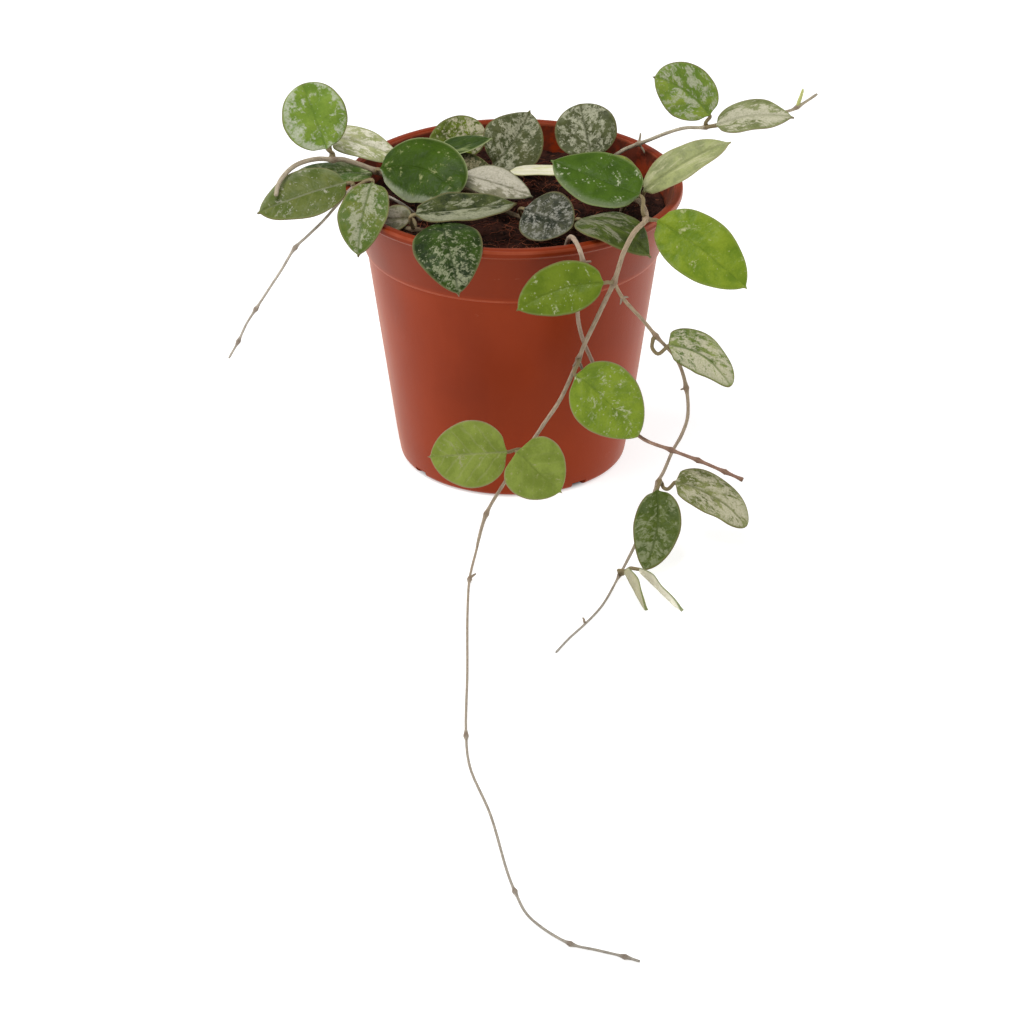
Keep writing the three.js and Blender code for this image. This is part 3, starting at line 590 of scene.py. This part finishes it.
def leaf_material(
    name, seed, colors, cover, grain=1.4, streak=1.5, slant=48, side=0, along=0, middle=0, specks=0.2,
    veins=0, film=0, rib=0.3, edge="#6b5b3c", under="#8f9868",
):
    """A waxy leaf: two greens, silver flecks along the veins, a midrib and a thin dry margin."""
    light, dark, fleck = colors
    paint = Paint(name, Specular_IOR_Level=0.1)
    x, y, _ = paint.parts("place")
    u, t, _ = paint.parts("share")
    rim, upper = paint.attribute("rim"), paint.attribute("upper")
    out = abs(x)
    depth = paint.math("SIGN", x) * 7 + seed * 13.7
    flat = paint.join(x, y, depth)

    # along and across the side veins, which leave the midrib at an angle
    ahead, aside = cos(radians(slant)), sin(radians(slant))
    down_vein = out * aside + y * ahead
    over_veins = y * aside + out * -ahead

    # greens, with the side veins
    clouds = paint.spots(flat, 0.17, 3)
    fine = paint.spots(flat, 1.6, 3, 0.6)
    tone = clouds * 0.75 + fine * 0.25
    green = paint.mix(tone.step(0.34, 0.66), dark, light)
    vein_gap = 3.6
    wave = y * 0.77 + out * -0.64 + clouds * 3
    crest = abs(paint.math("SINE", wave * (pi / vein_gap)))
    vein = crest.step(0.5, 0) * rim.step(0.6, 3)
    green = paint.mix(vein * veins, green, fleck)

    # silver: large patches broken up by small ones, and scattered dots
    stretched = paint.join(down_vein * (1 / streak), over_veins, depth)
    large = paint.spots(stretched, 0.42 / grain, 2, 0.5, 0.5)
    small = paint.spots(stretched, 1.3 / grain, 4, 0.75, 0.6)
    patches = large * 0.52 + small * 0.48
    lean = u * (0.07 * side) + (t - 0.5) * (0.16 * along) + (abs(u) * -1 + 0.5) * (0.16 * middle)
    start = 0.5 + (0.5 - cover) * 0.24
    silver = (patches + lean).step(start - 0.03, start + 0.07)
    bent = paint.value("VectorMath", {0: flat, 1: paint.join(fine * 0.9, 0, 0)})
    cells = paint.node("TexVoronoi", {"Vector": bent, "Scale": 0.8}).outputs
    luck, size, _ = paint.split(cells["Color"])
    picked = (luck + (large - 0.5) * 0.9).step(0.98 - specks, 1 - specks)
    reach = 0.1 + size * size * 0.24
    dot = (Value(paint, cells["Distance"]) - reach).step(0.06, -0.06)
    silver = paint.math("MAXIMUM", silver, dot * picked * 0.6)
    silver = silver * rim.step(0.35, 0.9)
    silver = silver * (0.45 + out.step(0.1, 0.7) * 0.55)
    shine = silver * 0.5 + silver * (fine + small * 0.5).step(0.45, 0.95) * 0.5
    surface = paint.mix(shine, green, fleck)

    # a painted sheen, a grey film near one margin in place of the gloss there, and painted shade, the
    # green darker near the margin
    # painted sheen: grey mixed into the colour near one margin
    film_side = clouds + u * copysign(0.25, film)
    haze = (rim + (small - 0.5) * 4).step(3.8, 1) * film_side.step(0.5, 0.7)
    surface = paint.mix(haze * abs(film), surface, "#9da28a")
    # painted shade: the green is darkened near the margin
    near_edge = rim.step(3, 0.6) * clouds.step(0.3, 0.7)
    surface = paint.mix(near_edge * 0.7, surface, paint.mix(0.45, surface, dark))

    # midrib, lower face, margin and stalk
    groove = out.step(0.6, 0.12) * t.step(1, 0.6)
    surface = paint.mix(groove * abs(rib), surface, dark if rib > 0 else fleck)
    shaded = (*(channel * 0.82 for channel in color(under)[:3]), 1)
    below = paint.mix(tone.step(0.3, 0.7), shaded, under)
    surface = paint.mix(upper, below, surface)
    surface = paint.mix(rim.step(1.1, 0.5) * 0.2, surface, "#979b68")
    surface = paint.mix(rim.step(0.5, 0.15) * (0.45 + fine * 0.6), surface, edge)
    stalk = paint.mix(fine, "#6e6244", "#8c7d5e")
    paint.coat("Base Color", paint.mix(t.step(0.014, -0.004), surface, stalk))

    paint.coat("Roughness", 0.3 + shine * 0.16 + fine * 0.14)
    grit = paint.spots(flat, 2.6, 3, 0.6)
    height = shine * 0.04 + grit * 0.05 + clouds * 1.4
    paint.relief(height + vein * (-0.02 - 0.3 * veins) + groove * -0.14, 1)
    return paint.material


def bark_material(name, seed, near, far):
    """Dry wiry stem: tan streaks and dark specks, changing from one end to the other."""
    paint = Paint(name, Roughness=0.75, Specular_IOR_Level=0.25)
    x, y, _ = paint.parts("place")
    _, t, _ = paint.parts("share")
    joint = paint.attribute("joint")
    streaks = paint.spots(paint.join(x * 2.2, y * 0.35, seed * 9.1), 1, 4, 0.6)
    specks = paint.spots(paint.join(x, y, seed * 5.3), 2.2, 2)
    bark = paint.mix(t, near, far)
    bark = paint.mix(streaks.step(0.58, 0.36), bark, paint.mix(0.35, bark, "#4e3b2e"))
    bark = paint.mix(streaks.step(0.56, 0.74) * 0.5, bark, "#b5a68c")
    bark = paint.mix(specks.step(0.62, 0.7) * 0.5, bark, "#5a4334")
    bark = paint.mix(joint.step(0, 1) * 0.5, bark, "#6b5340")
    paint.coat("Base Color", paint.mix(joint.step(1.5, BUD_KNOB), bark, "#b9bd77"))
    paint.relief(streaks + specks * 0.4, 0.25)
    return paint.material


def pot_material():
    """Satin terracotta-coloured moulded plastic, dirty on the inside, with faint scuffs, painted shade
    over the collar and painted highlight lines at the step and the lip.
    """
    satin = dict(Sheen_Weight=0.35, Sheen_Roughness=0.3, Sheen_Tint=(1, 0.55, 0.36, 1))
    paint = Paint("pot_plastic", Specular_IOR_Level=0.1, **satin)
    where = paint.where()
    x, y, z = paint.split(where)
    clouds = paint.spots(where, 22, 3)
    plastic = paint.mix(clouds.step(0.3, 0.7), "#842d0b", "#8f330e")
    flow = paint.spots(paint.join(x, y, z * 0.15), 160, 3)
    plastic = paint.mix(flow.step(0.5, 0.75) * 0.2, plastic, "#953613")
    scratch = paint.spots(paint.join(x * 3, y, z * 7), 130, 2, 0.5, 1)
    rubbed = scratch.step(0.72, 0.78) * clouds.step(0.52, 0.62)
    plastic = paint.mix(rubbed * 0.3, plastic, "#b5705a")
    # painted shade: the collar is darker above the step, as if shaded by the leaves
    collar = z.step(COLLAR_Z * MM, (COLLAR_Z + 3) * MM)
    plastic = paint.mix(collar * 0.35, plastic, "#5a1c08")
    # painted highlight: thin paler lines where the step and the lip's edge catch the light
    edges = (COLLAR_Z + 0.35, POT_HEIGHT - 0.9)
    step_edge, lip_edge = (paint.math("COMPARE", z, edge * MM, 0.55 * MM) for edge in edges)
    plastic = paint.mix((step_edge + lip_edge) * (flow * 0.7), plastic, "#b25c40")
    grime = paint.attribute("inner") * paint.spots(where, 180, 4, 0.6).step(0.35, 0.55)
    paint.coat("Base Color", paint.mix(grime * 0.7, plastic, "#3a1a10"))
    paint.coat("Roughness", 0.33 + flow * 0.12 + grime * 0.3)
    paint.relief(paint.spots(where, 1500, 2) + flow * 0.8, 0.035)
    return paint.material


def soil_material():
    """Dark moist potting mix."""
    paint = Paint("soil_mix", Roughness=0.95, Specular_IOR_Level=0.1)
    where = paint.where()
    lumps = paint.spots(where, 300, 5, 0.7)
    earth = paint.mix(lumps.step(0.35, 0.62), "#170b08", "#3a2018")
    red = paint.spots(where, 90, 3).step(0.5, 0.7)
    paint.coat("Base Color", paint.mix(red * 0.5, earth, "#55261a"))
    paint.relief(lumps, 1.2)
    return paint.material


def crumb_material(name, low, high):
    """Chips or fibres of the mix, each of its own shade."""
    paint = Paint(name, Roughness=0.85, Specular_IOR_Level=0.15)
    grain = paint.spots(paint.where(), 900, 3)
    shade = paint.attribute("tint") + (grain - 0.5) * 0.6
    paint.coat("Base Color", paint.mix(shade.step(0, 1), low, high))
    paint.relief(grain, 0.3)
    return paint.material


# ---- pot ----
def wall_radius(z):
    t = (z - FOOT_ROUND_Z) / (COLLAR_Z - FOOT_ROUND_Z)
    return mix(FOOT_RADIUS + 1.2, COLLAR_RADIUS - COLLAR_STEP, t)


def collar_radius(z):
    t = (z - COLLAR_Z - 2) / (COLLAR_TOP_Z - COLLAR_Z - 2)
    return mix(COLLAR_RADIUS + 0.6, RIM_RADIUS - LIP_OVERHANG, t)


def rounded(corners, steps=4):
    """Cuts each corner (radius, height, how far back) of an outline to a small curve."""
    places = [vec(r, z) for r, z, _ in corners]
    outline = [places[0]]
    for before, here, after, corner in zip(places, places[1:], places[2:], corners[1:]):
        back = min(corner[2], *(norm(p - here) * 0.45 for p in (before, after)))
        start, end = (here + unit(p - here) * back for p in (before, after))
        for t in (i / steps for i in range(steps + 1)):
            outline.append(start * (1 - t) ** 2 + 2 * here * t * (1 - t) + end * t**2)
    return np.array([*outline, places[-1]])


def pot_outline():
    """The profile from the middle of the underside round the lip to the middle of the floor."""
    inner_top = collar_radius(COLLAR_TOP_Z) - WALL
    outside = [
        (0, 0, 0), (FOOT_RADIUS - 6, 0, 0.5), (FOOT_RADIUS - 2, 0, 0.8), (FOOT_RADIUS, 1.2, 1.2),
        (wall_radius(FOOT_ROUND_Z), FOOT_ROUND_Z, 4), (wall_radius(COLLAR_Z), COLLAR_Z, 0.3),
        (COLLAR_RADIUS, COLLAR_Z, 0.4), (collar_radius(COLLAR_Z + 2), COLLAR_Z + 2, 1),
        (collar_radius(COLLAR_TOP_Z), COLLAR_TOP_Z, 0.5), (RIM_RADIUS, POT_HEIGHT - LIP_HEIGHT, 0.6),
        (RIM_RADIUS, POT_HEIGHT, 1.1),
    ]
    inside = [
        (inner_top + 0.3, POT_HEIGHT, 0.9), (inner_top, POT_HEIGHT - 1.5, 0.8),
        (collar_radius(COLLAR_Z + 2) - WALL, COLLAR_Z + 1.5, 1),
        (wall_radius(COLLAR_Z) - WALL, COLLAR_Z - 1, 0.5),
        (wall_radius(FOOT_ROUND_Z) - WALL, FOOT_ROUND_Z, 3), (FOOT_RADIUS - 1.4, FLOOR, 1),
        (0, FLOOR, 0),
    ]
    return rounded(outside + inside)


def drain_drills():
    """Upright prisms where the drain holes are."""
    count, circle, radius = DRAIN_HOLES.values()
    sides = 24
    for i in range(count):
        angle = 2 * pi * i / count
        middle = circle * vec(cos(angle), sin(angle))
        rim = radius * np.stack([np.cos(turns(sides)), np.sin(turns(sides))], 1) + middle
        points = [(*p, z) for z in (-FLOOR, 3 * FLOOR) for p in rim]
        yield shape("drill", points, ring_faces(2, sides, closed_rows=True))


def notch_blocks():
    """Blocks where the notches under the foot are."""
    count, first_angle, width, height = FOOT_NOTCHES.values()
    for i in range(count):
        angle = first_angle + 2 * pi * i / count
        out, over = vec(cos(angle), sin(angle)), vec(-sin(angle), cos(angle))
        points = []
        for z in (-height, height):
            for along, across in ((-4, -1), (4, -1), (4, 1), (-4, 1)):
                spot = out * (FOOT_RADIUS + along) + over * across * width / 2
                points.append((*spot, z))
        yield shape("notch", points, ring_faces(2, 4, closed_rows=True))


def add_pot():
    outline = pot_outline()
    points = [(r * cos(a), r * sin(a), z) for r, z in outline[1:-1] for a in turns(POT_SEGMENTS)]
    faces = ring_faces(len(outline) - 2, POT_SEGMENTS)
    for hub, row, flip in ((outline[0], 0, True), (outline[-1], len(outline) - 3, False)):
        points.append((0, 0, hub[1]))
        for j in range(POT_SEGMENTS):
            a, b = row * POT_SEGMENTS + j, row * POT_SEGMENTS + (j + 1) % POT_SEGMENTS
            faces.append((b, a, len(points) - 1) if flip else (a, b, len(points) - 1))
    pot = add_mesh("pot_fine", points, faces, pot_material())
    cutters = [*drain_drills(), *notch_blocks()]
    for cutter in cutters:
        cut = pot.modifiers.new("cut", "BOOLEAN")
        cut.operation = "DIFFERENCE"
        cut.solver = "EXACT"
        cut.object = cutter
    bpy.context.view_layer.update()
    seen = pot.evaluated_get(bpy.context.evaluated_depsgraph_get())
    pot.data = mesh = bpy.data.meshes.new_from_object(seen)
    pot.modifiers.clear()
    for cutter in cutters:
        bpy.data.objects.remove(cutter)
    mesh.polygons.foreach_set("use_smooth", [True] * len(mesh.polygons))
    mesh.set_sharp_from_angle(angle=radians(POT_SHARP_ANGLE))
    mark_inside(mesh)
    dress(pot, "pot_plastic", "pot")


def mark_inside(mesh):
    """Marks the points of the pot's inner face, which the soil has dirtied."""
    inner = []
    for vertex in mesh.vertices:
        x, y, z = vertex.co / MM
        skin = wall_radius(z) if z < COLLAR_Z else collar_radius(z)
        inner.append(float(hypot(x, y) < skin - WALL / 2 and FLOOR / 2 < z < POT_HEIGHT - 1))
    mesh.attributes.new("inner", "FLOAT", "POINT").data.foreach_set("value", inner)


# ---- soil ----
SOIL_RADIUS = collar_radius(SOIL_TOP) - WALL - 1


def soil_height(x, y):
    """The soil with its lumps, from large to small."""
    lumps = sin(x * 0.31 + 1) * cos(y * 0.27)
    slope = 0.6 * sin(x * 0.13 - y * 0.19)
    small = 0.75 * wobble(x * 0.45, y * 0.45, 3) + 0.45 * wobble(x * 1.1, y * 1.1, 8)
    return SOIL_TOP + SOIL_BUMP * (lumps + slope) + 0.35 + small


def add_soil_surface():
    """A lumpy skin over the soil's solid."""
    rings, sides = 60, 150
    radii = [*(SOIL_RADIUS * (i / rings) for i in range(rings, 0, -1)), 0.1]
    points = [(SOIL_RADIUS * cos(a), SOIL_RADIUS * sin(a), SOIL_TOP - 3) for a in turns(sides)]
    for r in radii:
        for x, y in ((r * cos(a), r * sin(a)) for a in turns(sides)):
            points.append((x, y, soil_height(x, y)))
    faces = ring_faces(len(radii) + 1, sides)
    last = len(radii) * sides
    faces.append(tuple(range(last, last + sides)))
    dress(add_mesh("soil_surface", points, faces, soil_material()), "soil")


def somewhere_on_soil(rng, margin):
    radius = (SOIL_RADIUS - margin) * sqrt(rng.random())
    angle = rng.uniform(0, 2 * pi)
    return radius * cos(angle), radius * sin(angle)


def add_chips(count=1500):
    """Crumbs and bark chips, each a small dented block."""
    rng = random.Random(11)
    cube = [(x, y, z) for x in (-1, 1) for y in (-1, 1) for z in (-1, 1)]
    sides = [(0, 1, 3, 2), (4, 6, 7, 5), (0, 4, 5, 1), (2, 3, 7, 6), (0, 2, 6, 4), (1, 5, 7, 3)]
    points, faces, tints = [], [], []
    for _ in range(count):
        size = rng.choice((0.25, 0.35, 0.35, 0.5, 0.8))
        x, y = somewhere_on_soil(rng, 2)
        scale = vec(rng.uniform(0.7, 1.9), rng.uniform(0.6, 1.1), rng.uniform(0.35, 0.8)) * size
        turned = rotation(rng.uniform(0, 6.28), 0, 1) @ rotation(rng.uniform(-0.5, 0.5), 2, 0)
        first, tint = len(points), rng.random()
        for corner in cube:
            dent = vec(*(rng.uniform(0.55, 1.1) for _ in range(3)))
            spot = turned @ (vec(*corner) * scale * dent)
            points.append(spot + vec(x, y, soil_height(x, y) + 0.2 * size))
            tints.append(tint)
        faces += [tuple(first + i for i in side) for side in sides]
    finish = crumb_material("soil_chip", "#1a0d09", "#5f3827")
    chips = add_mesh("soil_chips", points, faces, finish, tint=tints)
    soften = chips.modifiers.new("soften", "SUBSURF")
    soften.levels = soften.render_levels = 1
    dress(chips, "soil")


def add_fibres(count=430):
    """Coir fibres curled on the soil."""
    rng = random.Random(5)
    sides, stride = 5, 1.1
    points, faces, tints = [], [], []
    for _ in range(count):
        x, y = somewhere_on_soil(rng, 9)
        heading, curl = rng.uniform(0, 6.28), rng.uniform(-0.28, 0.28)
        thickness, tint, lift = rng.uniform(0.05, 0.13), rng.random(), rng.uniform(0.1, 0.9)
        steps = rng.randint(6, 13)
        path = []
        for i in range(steps):
            rise = lift * sin(pi * i / (steps - 1))
            if hypot(x, y) > SOIL_RADIUS - 2:
                break
            path.append(vec(x, y, soil_height(x, y) + 0.1 + rise))
            heading += curl + rng.uniform(-0.25, 0.25)
            x, y = x + stride * cos(heading), y + stride * sin(heading)
        if len(path) < 4:
            continue
        first = len(points)
        points += tube_points(np.array(path), np.full(len(path), thickness), sides)
        faces += [tuple(first + i for i in face) for face in ring_faces(len(path), sides, True)]
        tints += [tint] * (len(path) * sides)
    finish = crumb_material("coir", "#4a1d12", "#94563c")
    dress(add_mesh("soil_fibres", points, faces, finish, tint=tints), "soil")


# ---- stems ----
def tube_points(path, radii, sides):
    along = directions(path)
    upright = abs(along[0][2]) > 0.8
    across = carried(vec(1, 0, 0) if upright else vec(0, 0, 1), along)
    up = np.cross(across, along)
    points = []
    for spot, a, b, radius in zip(path, across, up, radii):
        for j in range(sides):
            angle = 2 * pi * j / sides
            points.append(spot + radius * (a * cos(angle) + b * sin(angle)))
    return points


def plain_radius(stem, place):
    """The radius at a place of the route, without its joints."""
    return mix(*stem.radius, min(place / (stem.thin_at or len(stem.route) - 1), 1))


def stem_part(stem, seed):
    """Points, faces and attributes of one stem with its swollen joints."""
    path = through(stem.route, STEM_STEPS)
    lying = smooth((LYING_HEIGHT - path[:, 2]) / LYING_HEIGHT * 2)
    path[:, 2] -= lying * SETTLE
    gone = lengths(path)
    joints = [gone[n * STEM_STEPS] for n in stem.nodes]
    radii, knobs = [], []
    for i, distance in enumerate(gone):
        knob = min(sum(exp(-(((distance - j) / NODE_LENGTH) ** 2)) for j in joints), 1)
        ridge = sum(exp(-(((distance - j) / RIDGE_LENGTH) ** 2)) for j in joints)
        lumpy = 1 + 0.07 * wobble(distance * 0.35, seed, 0) + 0.05 * wobble(distance * 1.2, seed, 5)
        grown = plain_radius(stem, i / STEM_STEPS) * lumpy * stem.slim * mix(1, SLENDER, lying[i])
        radii.append(grown + NODE_SWELL * knob + RIDGE_HEIGHT * ridge)
        knobs.append(knob)
    radii[-1] *= 0.75
    points = tube_points(path, radii, STEM_SIDES)
    place, share = [], []
    for distance, radius in zip(gone, radii):
        for j in range(STEM_SIDES):
            place.append((abs(j / STEM_SIDES - 0.5) * 2 * pi * radius, distance, 0))
            share.append((0, distance / gone[-1], 0))
    faces = ring_faces(len(path), STEM_SIDES, closed_rows=True)
    return points, faces, place, share, np.repeat(knobs, STEM_SIDES).tolist()


def spur_part(stem, node, end, radius):
    """The same of one spur."""
    start, end = vec(*stem.route[node]), vec(*end)
    path = np.array([mix(start, end, t) for t in (0, 0.3, 0.6, 0.85, 1)])
    path[2:4] += vec(0.15, 0.1, 0.1)
    radii = [radius * share for share in (1, 1, 0.85, 0.7, 0.35)]
    sides = 8
    points = tube_points(path, radii, sides)
    place = [(0.3 * j, 0.5 * i, 0) for i in range(len(path)) for j in range(sides)]
    share = [(0, 0.5, 0)] * len(points)
    knob = BUD_KNOB if radius == BUD_RADIUS else SPUR_KNOB
    return points, ring_faces(len(path), sides, True), place, share, [knob] * len(points)


def add_stem(name, seed):
    """A stem with its spurs. The front one also has the branch."""
    members = {name: seed, "branch": seed + 0.5} if name == "front" else {name: seed}
    parts = [stem_part(STEMS[member], number) for member, number in members.items()]
    parts += [spur_part(STEMS[member], *spur) for member in members for spur in SPURS.get(member, [])]
    points, faces, place, share, joint = [], [], [], [], []
    for part in parts:
        faces += [tuple(i + len(points) for i in face) for face in part[1]]
        for whole, more in zip((points, place, share, joint), (part[0], *part[2:])):
            whole += more
    bark = bark_material(f"bark_{name}", seed, *STEMS[name].bark)
    stem = add_mesh(f"stem_{name}_fine", points, faces, bark, place=place, share=share, joint=joint)
    dress(stem, "stem", f"stem_{name}")


# ---- leaves ----
def leaf_outline(t, round_, point):
    """Fraction of the full width at a distance t along the blade."""
    peak = round_ / (round_ + point)
    return (t**round_ * (1 - t) ** point) / (peak**round_ * (1 - peak) ** point)


def petiole_path(leaf, base, axis):
    """From inside the stem's skin to the base of the blade."""
    stem = STEMS[leaf.stem]
    fineness = 20
    curve = through(stem.route, fineness)
    spot = leaf.node * fineness
    joint, along = curve[spot], unit(curve[spot + 1] - curve[spot - 1])
    bends = [vec(*p) for p in leaf.via]
    out = (bends[0] if bends else base) - joint
    out = unit(out - along * (out @ along))
    radius = plain_radius(stem, leaf.node) + NODE_SWELL
    start = joint + out * (radius + CLEARANCE)
    root = joint + out * radius * 0.6
    if bends:
        path = through([start, *bends, base], PETIOLE_STEPS // 2)
    else:
        reach = norm(base - start) / 3
        path = bezier(start, start + out * reach, base - axis * reach, base, PETIOLE_STEPS)
    return np.array([root, *path[:-1]])


def blade_ring(leaf, length, seed, t, half, x_share):
    """Heights over the midrib's plane of the upper and lower face at each column of a ring."""
    top, bottom = [], []
    for u in x_share:
        x = u * half
        body = mix(BLADE_MIDDLE, BLADE_EDGE, u * u) / 2 * sqrt(max(1 - abs(u) ** 5, 0))
        rise = leaf.cup * (x / (leaf.width / 2)) ** 2
        # broad waves, and a ripple along each margin
        rise += 0.35 * wobble(x * 0.13 + seed, t * length * 0.13, seed)
        rise += 0.3 * u * u * sin(t * length * 0.42 + seed + (1.3 if u > 0 else 0))
        pillow = 0.3 * sin(pi * abs(u)) * half / (leaf.width / 2)
        rib = exp(-((x / 0.5) ** 2)) * smooth((1 - t) * 6)
        top.append(rise + body + pillow - 0.3 * rib)
        bottom.append(rise - body + 0.5 * pillow - 0.4 * rib)
    return top, bottom


def add_leaf(name, leaf, seed):
    base, tip, up = vec(*leaf.base), vec(*leaf.tip), vec(*leaf.up)
    blade = tip - base
    length = norm(blade)
    axis = unit(blade)
    up = unit(up - axis * (up @ axis))
    side = np.cross(axis, up)
    steps = (1 - np.cos(pi * np.arange(BLADE_STEPS + 1) / BLADE_STEPS)) / 2
    bow = 4 * leaf.arch * up + 4 * leaf.bend * side
    midrib = base + np.outer(steps, blade) + np.outer(steps * (1 - steps), bow)
    petiole = petiole_path(leaf, base, axis)
    path = np.array([*petiole, *midrib])
    along = directions(path)
    across = carried(side, along[::-1])[::-1]
    lift = np.cross(across, along)
    columns = np.sin(np.linspace(-pi / 2, pi / 2, BLADE_COLUMNS))
    inner = columns[1:-1]
    beak = 0 if leaf.blunt else BEAK_LENGTH / length

    points, place, share, rim, upper = [], [], [], [], []
    gone = lengths(path) - lengths(path)[len(petiole)]
    for i, spot in enumerate(path):
        t = steps[i - len(petiole)] if i >= len(petiole) else -0.01
        grown = min(max(t, 0) / (1 - beak), 1)
        half = max(leaf.width / 2 * leaf_outline(grown, leaf.round, leaf.point), 0.12)
        left = (1 - t) * length
        if beak and left < 1.6 * BEAK_LENGTH:
            half = max(half, BEAK_SLOPE * left)
        half *= 1 + 0.02 * wobble(t * 5, seed, 2)
        top, bottom = blade_ring(leaf, length, seed, max(t, 0), half, columns)
        flat = smooth(t / 0.05)
        radius = PETIOLE_RADIUS * (1 + 0.25 * max(0, 1 - i / 3))
        ring = [(u, h, 1) for u, h in zip(columns, top)]
        ring += [(u, h, 0) for u, h in zip(inner[::-1], bottom[-2:0:-1])]
        for j, (u, h, face) in enumerate(ring):
            angle = pi * (1 - 2 * j / len(ring))
            x = mix(radius * cos(angle), u * half, flat)
            h = mix(radius * sin(angle), h, flat)
            points.append(spot + across[i] * x + lift[i] * h)
            place.append((x, gone[i], 0))
            share.append((u, t, 0))
            rim.append(min((1 - abs(u)) * half, (1 - t) * length * 0.8 + 0.1))
            upper.append(face)
    finish = leaf_material(f"blade_{name}", seed, leaf.colors, **leaf.look)
    faces = ring_faces(len(path), 2 * len(inner) + 2, closed_rows=True)
    made = add_mesh(
        f"leaf_{name}_fine", points, faces, finish, place=place, share=share, rim=rim, upper=upper
    )
    dress(made, f"leaf_{leaf.slot}", f"leaf_{name}")


# ---- floor, light and camera ----
CAMERA_TILT = 27.29
CAMERA_DISTANCE = 1600
CAMERA_TARGET = (-0.28, 0, -26.75)
CAMERA_LENS = 153.68
CAMERA_SENSOR = 36
FLOOR_SIZE = 6000
FLOOR_GLOW = 0.72
WORLD_LIGHT = 0.45
LIGHT_TARGET = (0, 0, 60)


def add_floor():
    """A pale floor. It glows a little so that it looks white, but not under the pot, which leaves a
    painted shadow there.
    """
    corners = [(x * FLOOR_SIZE, y * FLOOR_SIZE, -0.05) for x, y in ((-1, -1), (1, -1), (1, 1), (-1, 1))]
    paint = Paint("floor_white", Roughness=0.9, Specular_IOR_Level=0.1)
    paint.coat("Emission Color", "#ffffff")
    where = paint.where()
    x, y, _ = paint.split(where)
    away = paint.math("SQRT", x * x + y * y)
    # painted shadow: no glow under the pot's foot
    glow = away.step(FOOT_RADIUS * MM * 0.89, FOOT_RADIUS * MM)
    paint.coat("Emission Strength", glow * FLOOR_GLOW)
    paint.coat("Base Color", paint.mix(paint.spots(where, 3, 2), "#bcbcbc", "#c0c0c0"))
    add_mesh("floor", corners, [(0, 1, 2, 3)], paint.material)


def add_light(name, position, size, power):
    """A soft lamp that shines at the pot."""
    lamp = bpy.data.lights.new(name, "AREA")
    lamp.shape = "RECTANGLE"
    lamp.size, lamp.size_y = (side * MM for side in size)
    lamp.energy = power
    made = link(name, lamp)
    made.location = Vector(position) * MM
    sight = Vector(LIGHT_TARGET) - Vector(position)
    made.rotation_euler = sight.to_track_quat("-Z", "Y").to_euler()


def add_lights():
    world = bpy.data.worlds.new("studio")
    bpy.context.scene.world = world
    world.use_nodes = True
    background = world.node_tree.nodes["Background"]
    background.inputs["Color"].default_value = (1, 1, 1, 1)
    background.inputs["Strength"].default_value = WORLD_LIGHT
    add_light("overhead", (-260, -420, 1150), size=(520, 520), power=8.5)
    add_light("left_strip", (-620, 160, 260), size=(260, 700), power=2.5)
    add_light("right_strip", (620, 160, 260), size=(260, 700), power=2.1)


def add_camera():
    tilt = radians(CAMERA_TILT)
    sight = Vector((0, cos(tilt), -sin(tilt)))
    data = bpy.data.cameras.new("photo_view")
    data.lens = CAMERA_LENS
    data.sensor_width = CAMERA_SENSOR
    data.clip_end = 20
    camera = link("photo_view", data)
    camera.location = (Vector(CAMERA_TARGET) - sight * CAMERA_DISTANCE) * MM
    camera.rotation_euler = (pi / 2 - tilt, 0, 0)
    bpy.context.scene.camera = camera


# ---- the plant in its pot ----
add_camera()
add_lights()
add_floor()
add_pot()
soil_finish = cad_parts["soil"].data.materials
soil_finish.clear()
soil_finish.append(soil_material())
add_soil_surface()
add_chips()
add_fibres()
for number, stem_name in enumerate(STEMS):
    if stem_name != "branch":
        add_stem(stem_name, number + 1)
for number, (leaf_name, one_leaf) in enumerate(LEAVES.items()):
    add_leaf(leaf_name, one_leaf, number + 1)
bpy.context.scene.view_settings.view_transform = "Standard"
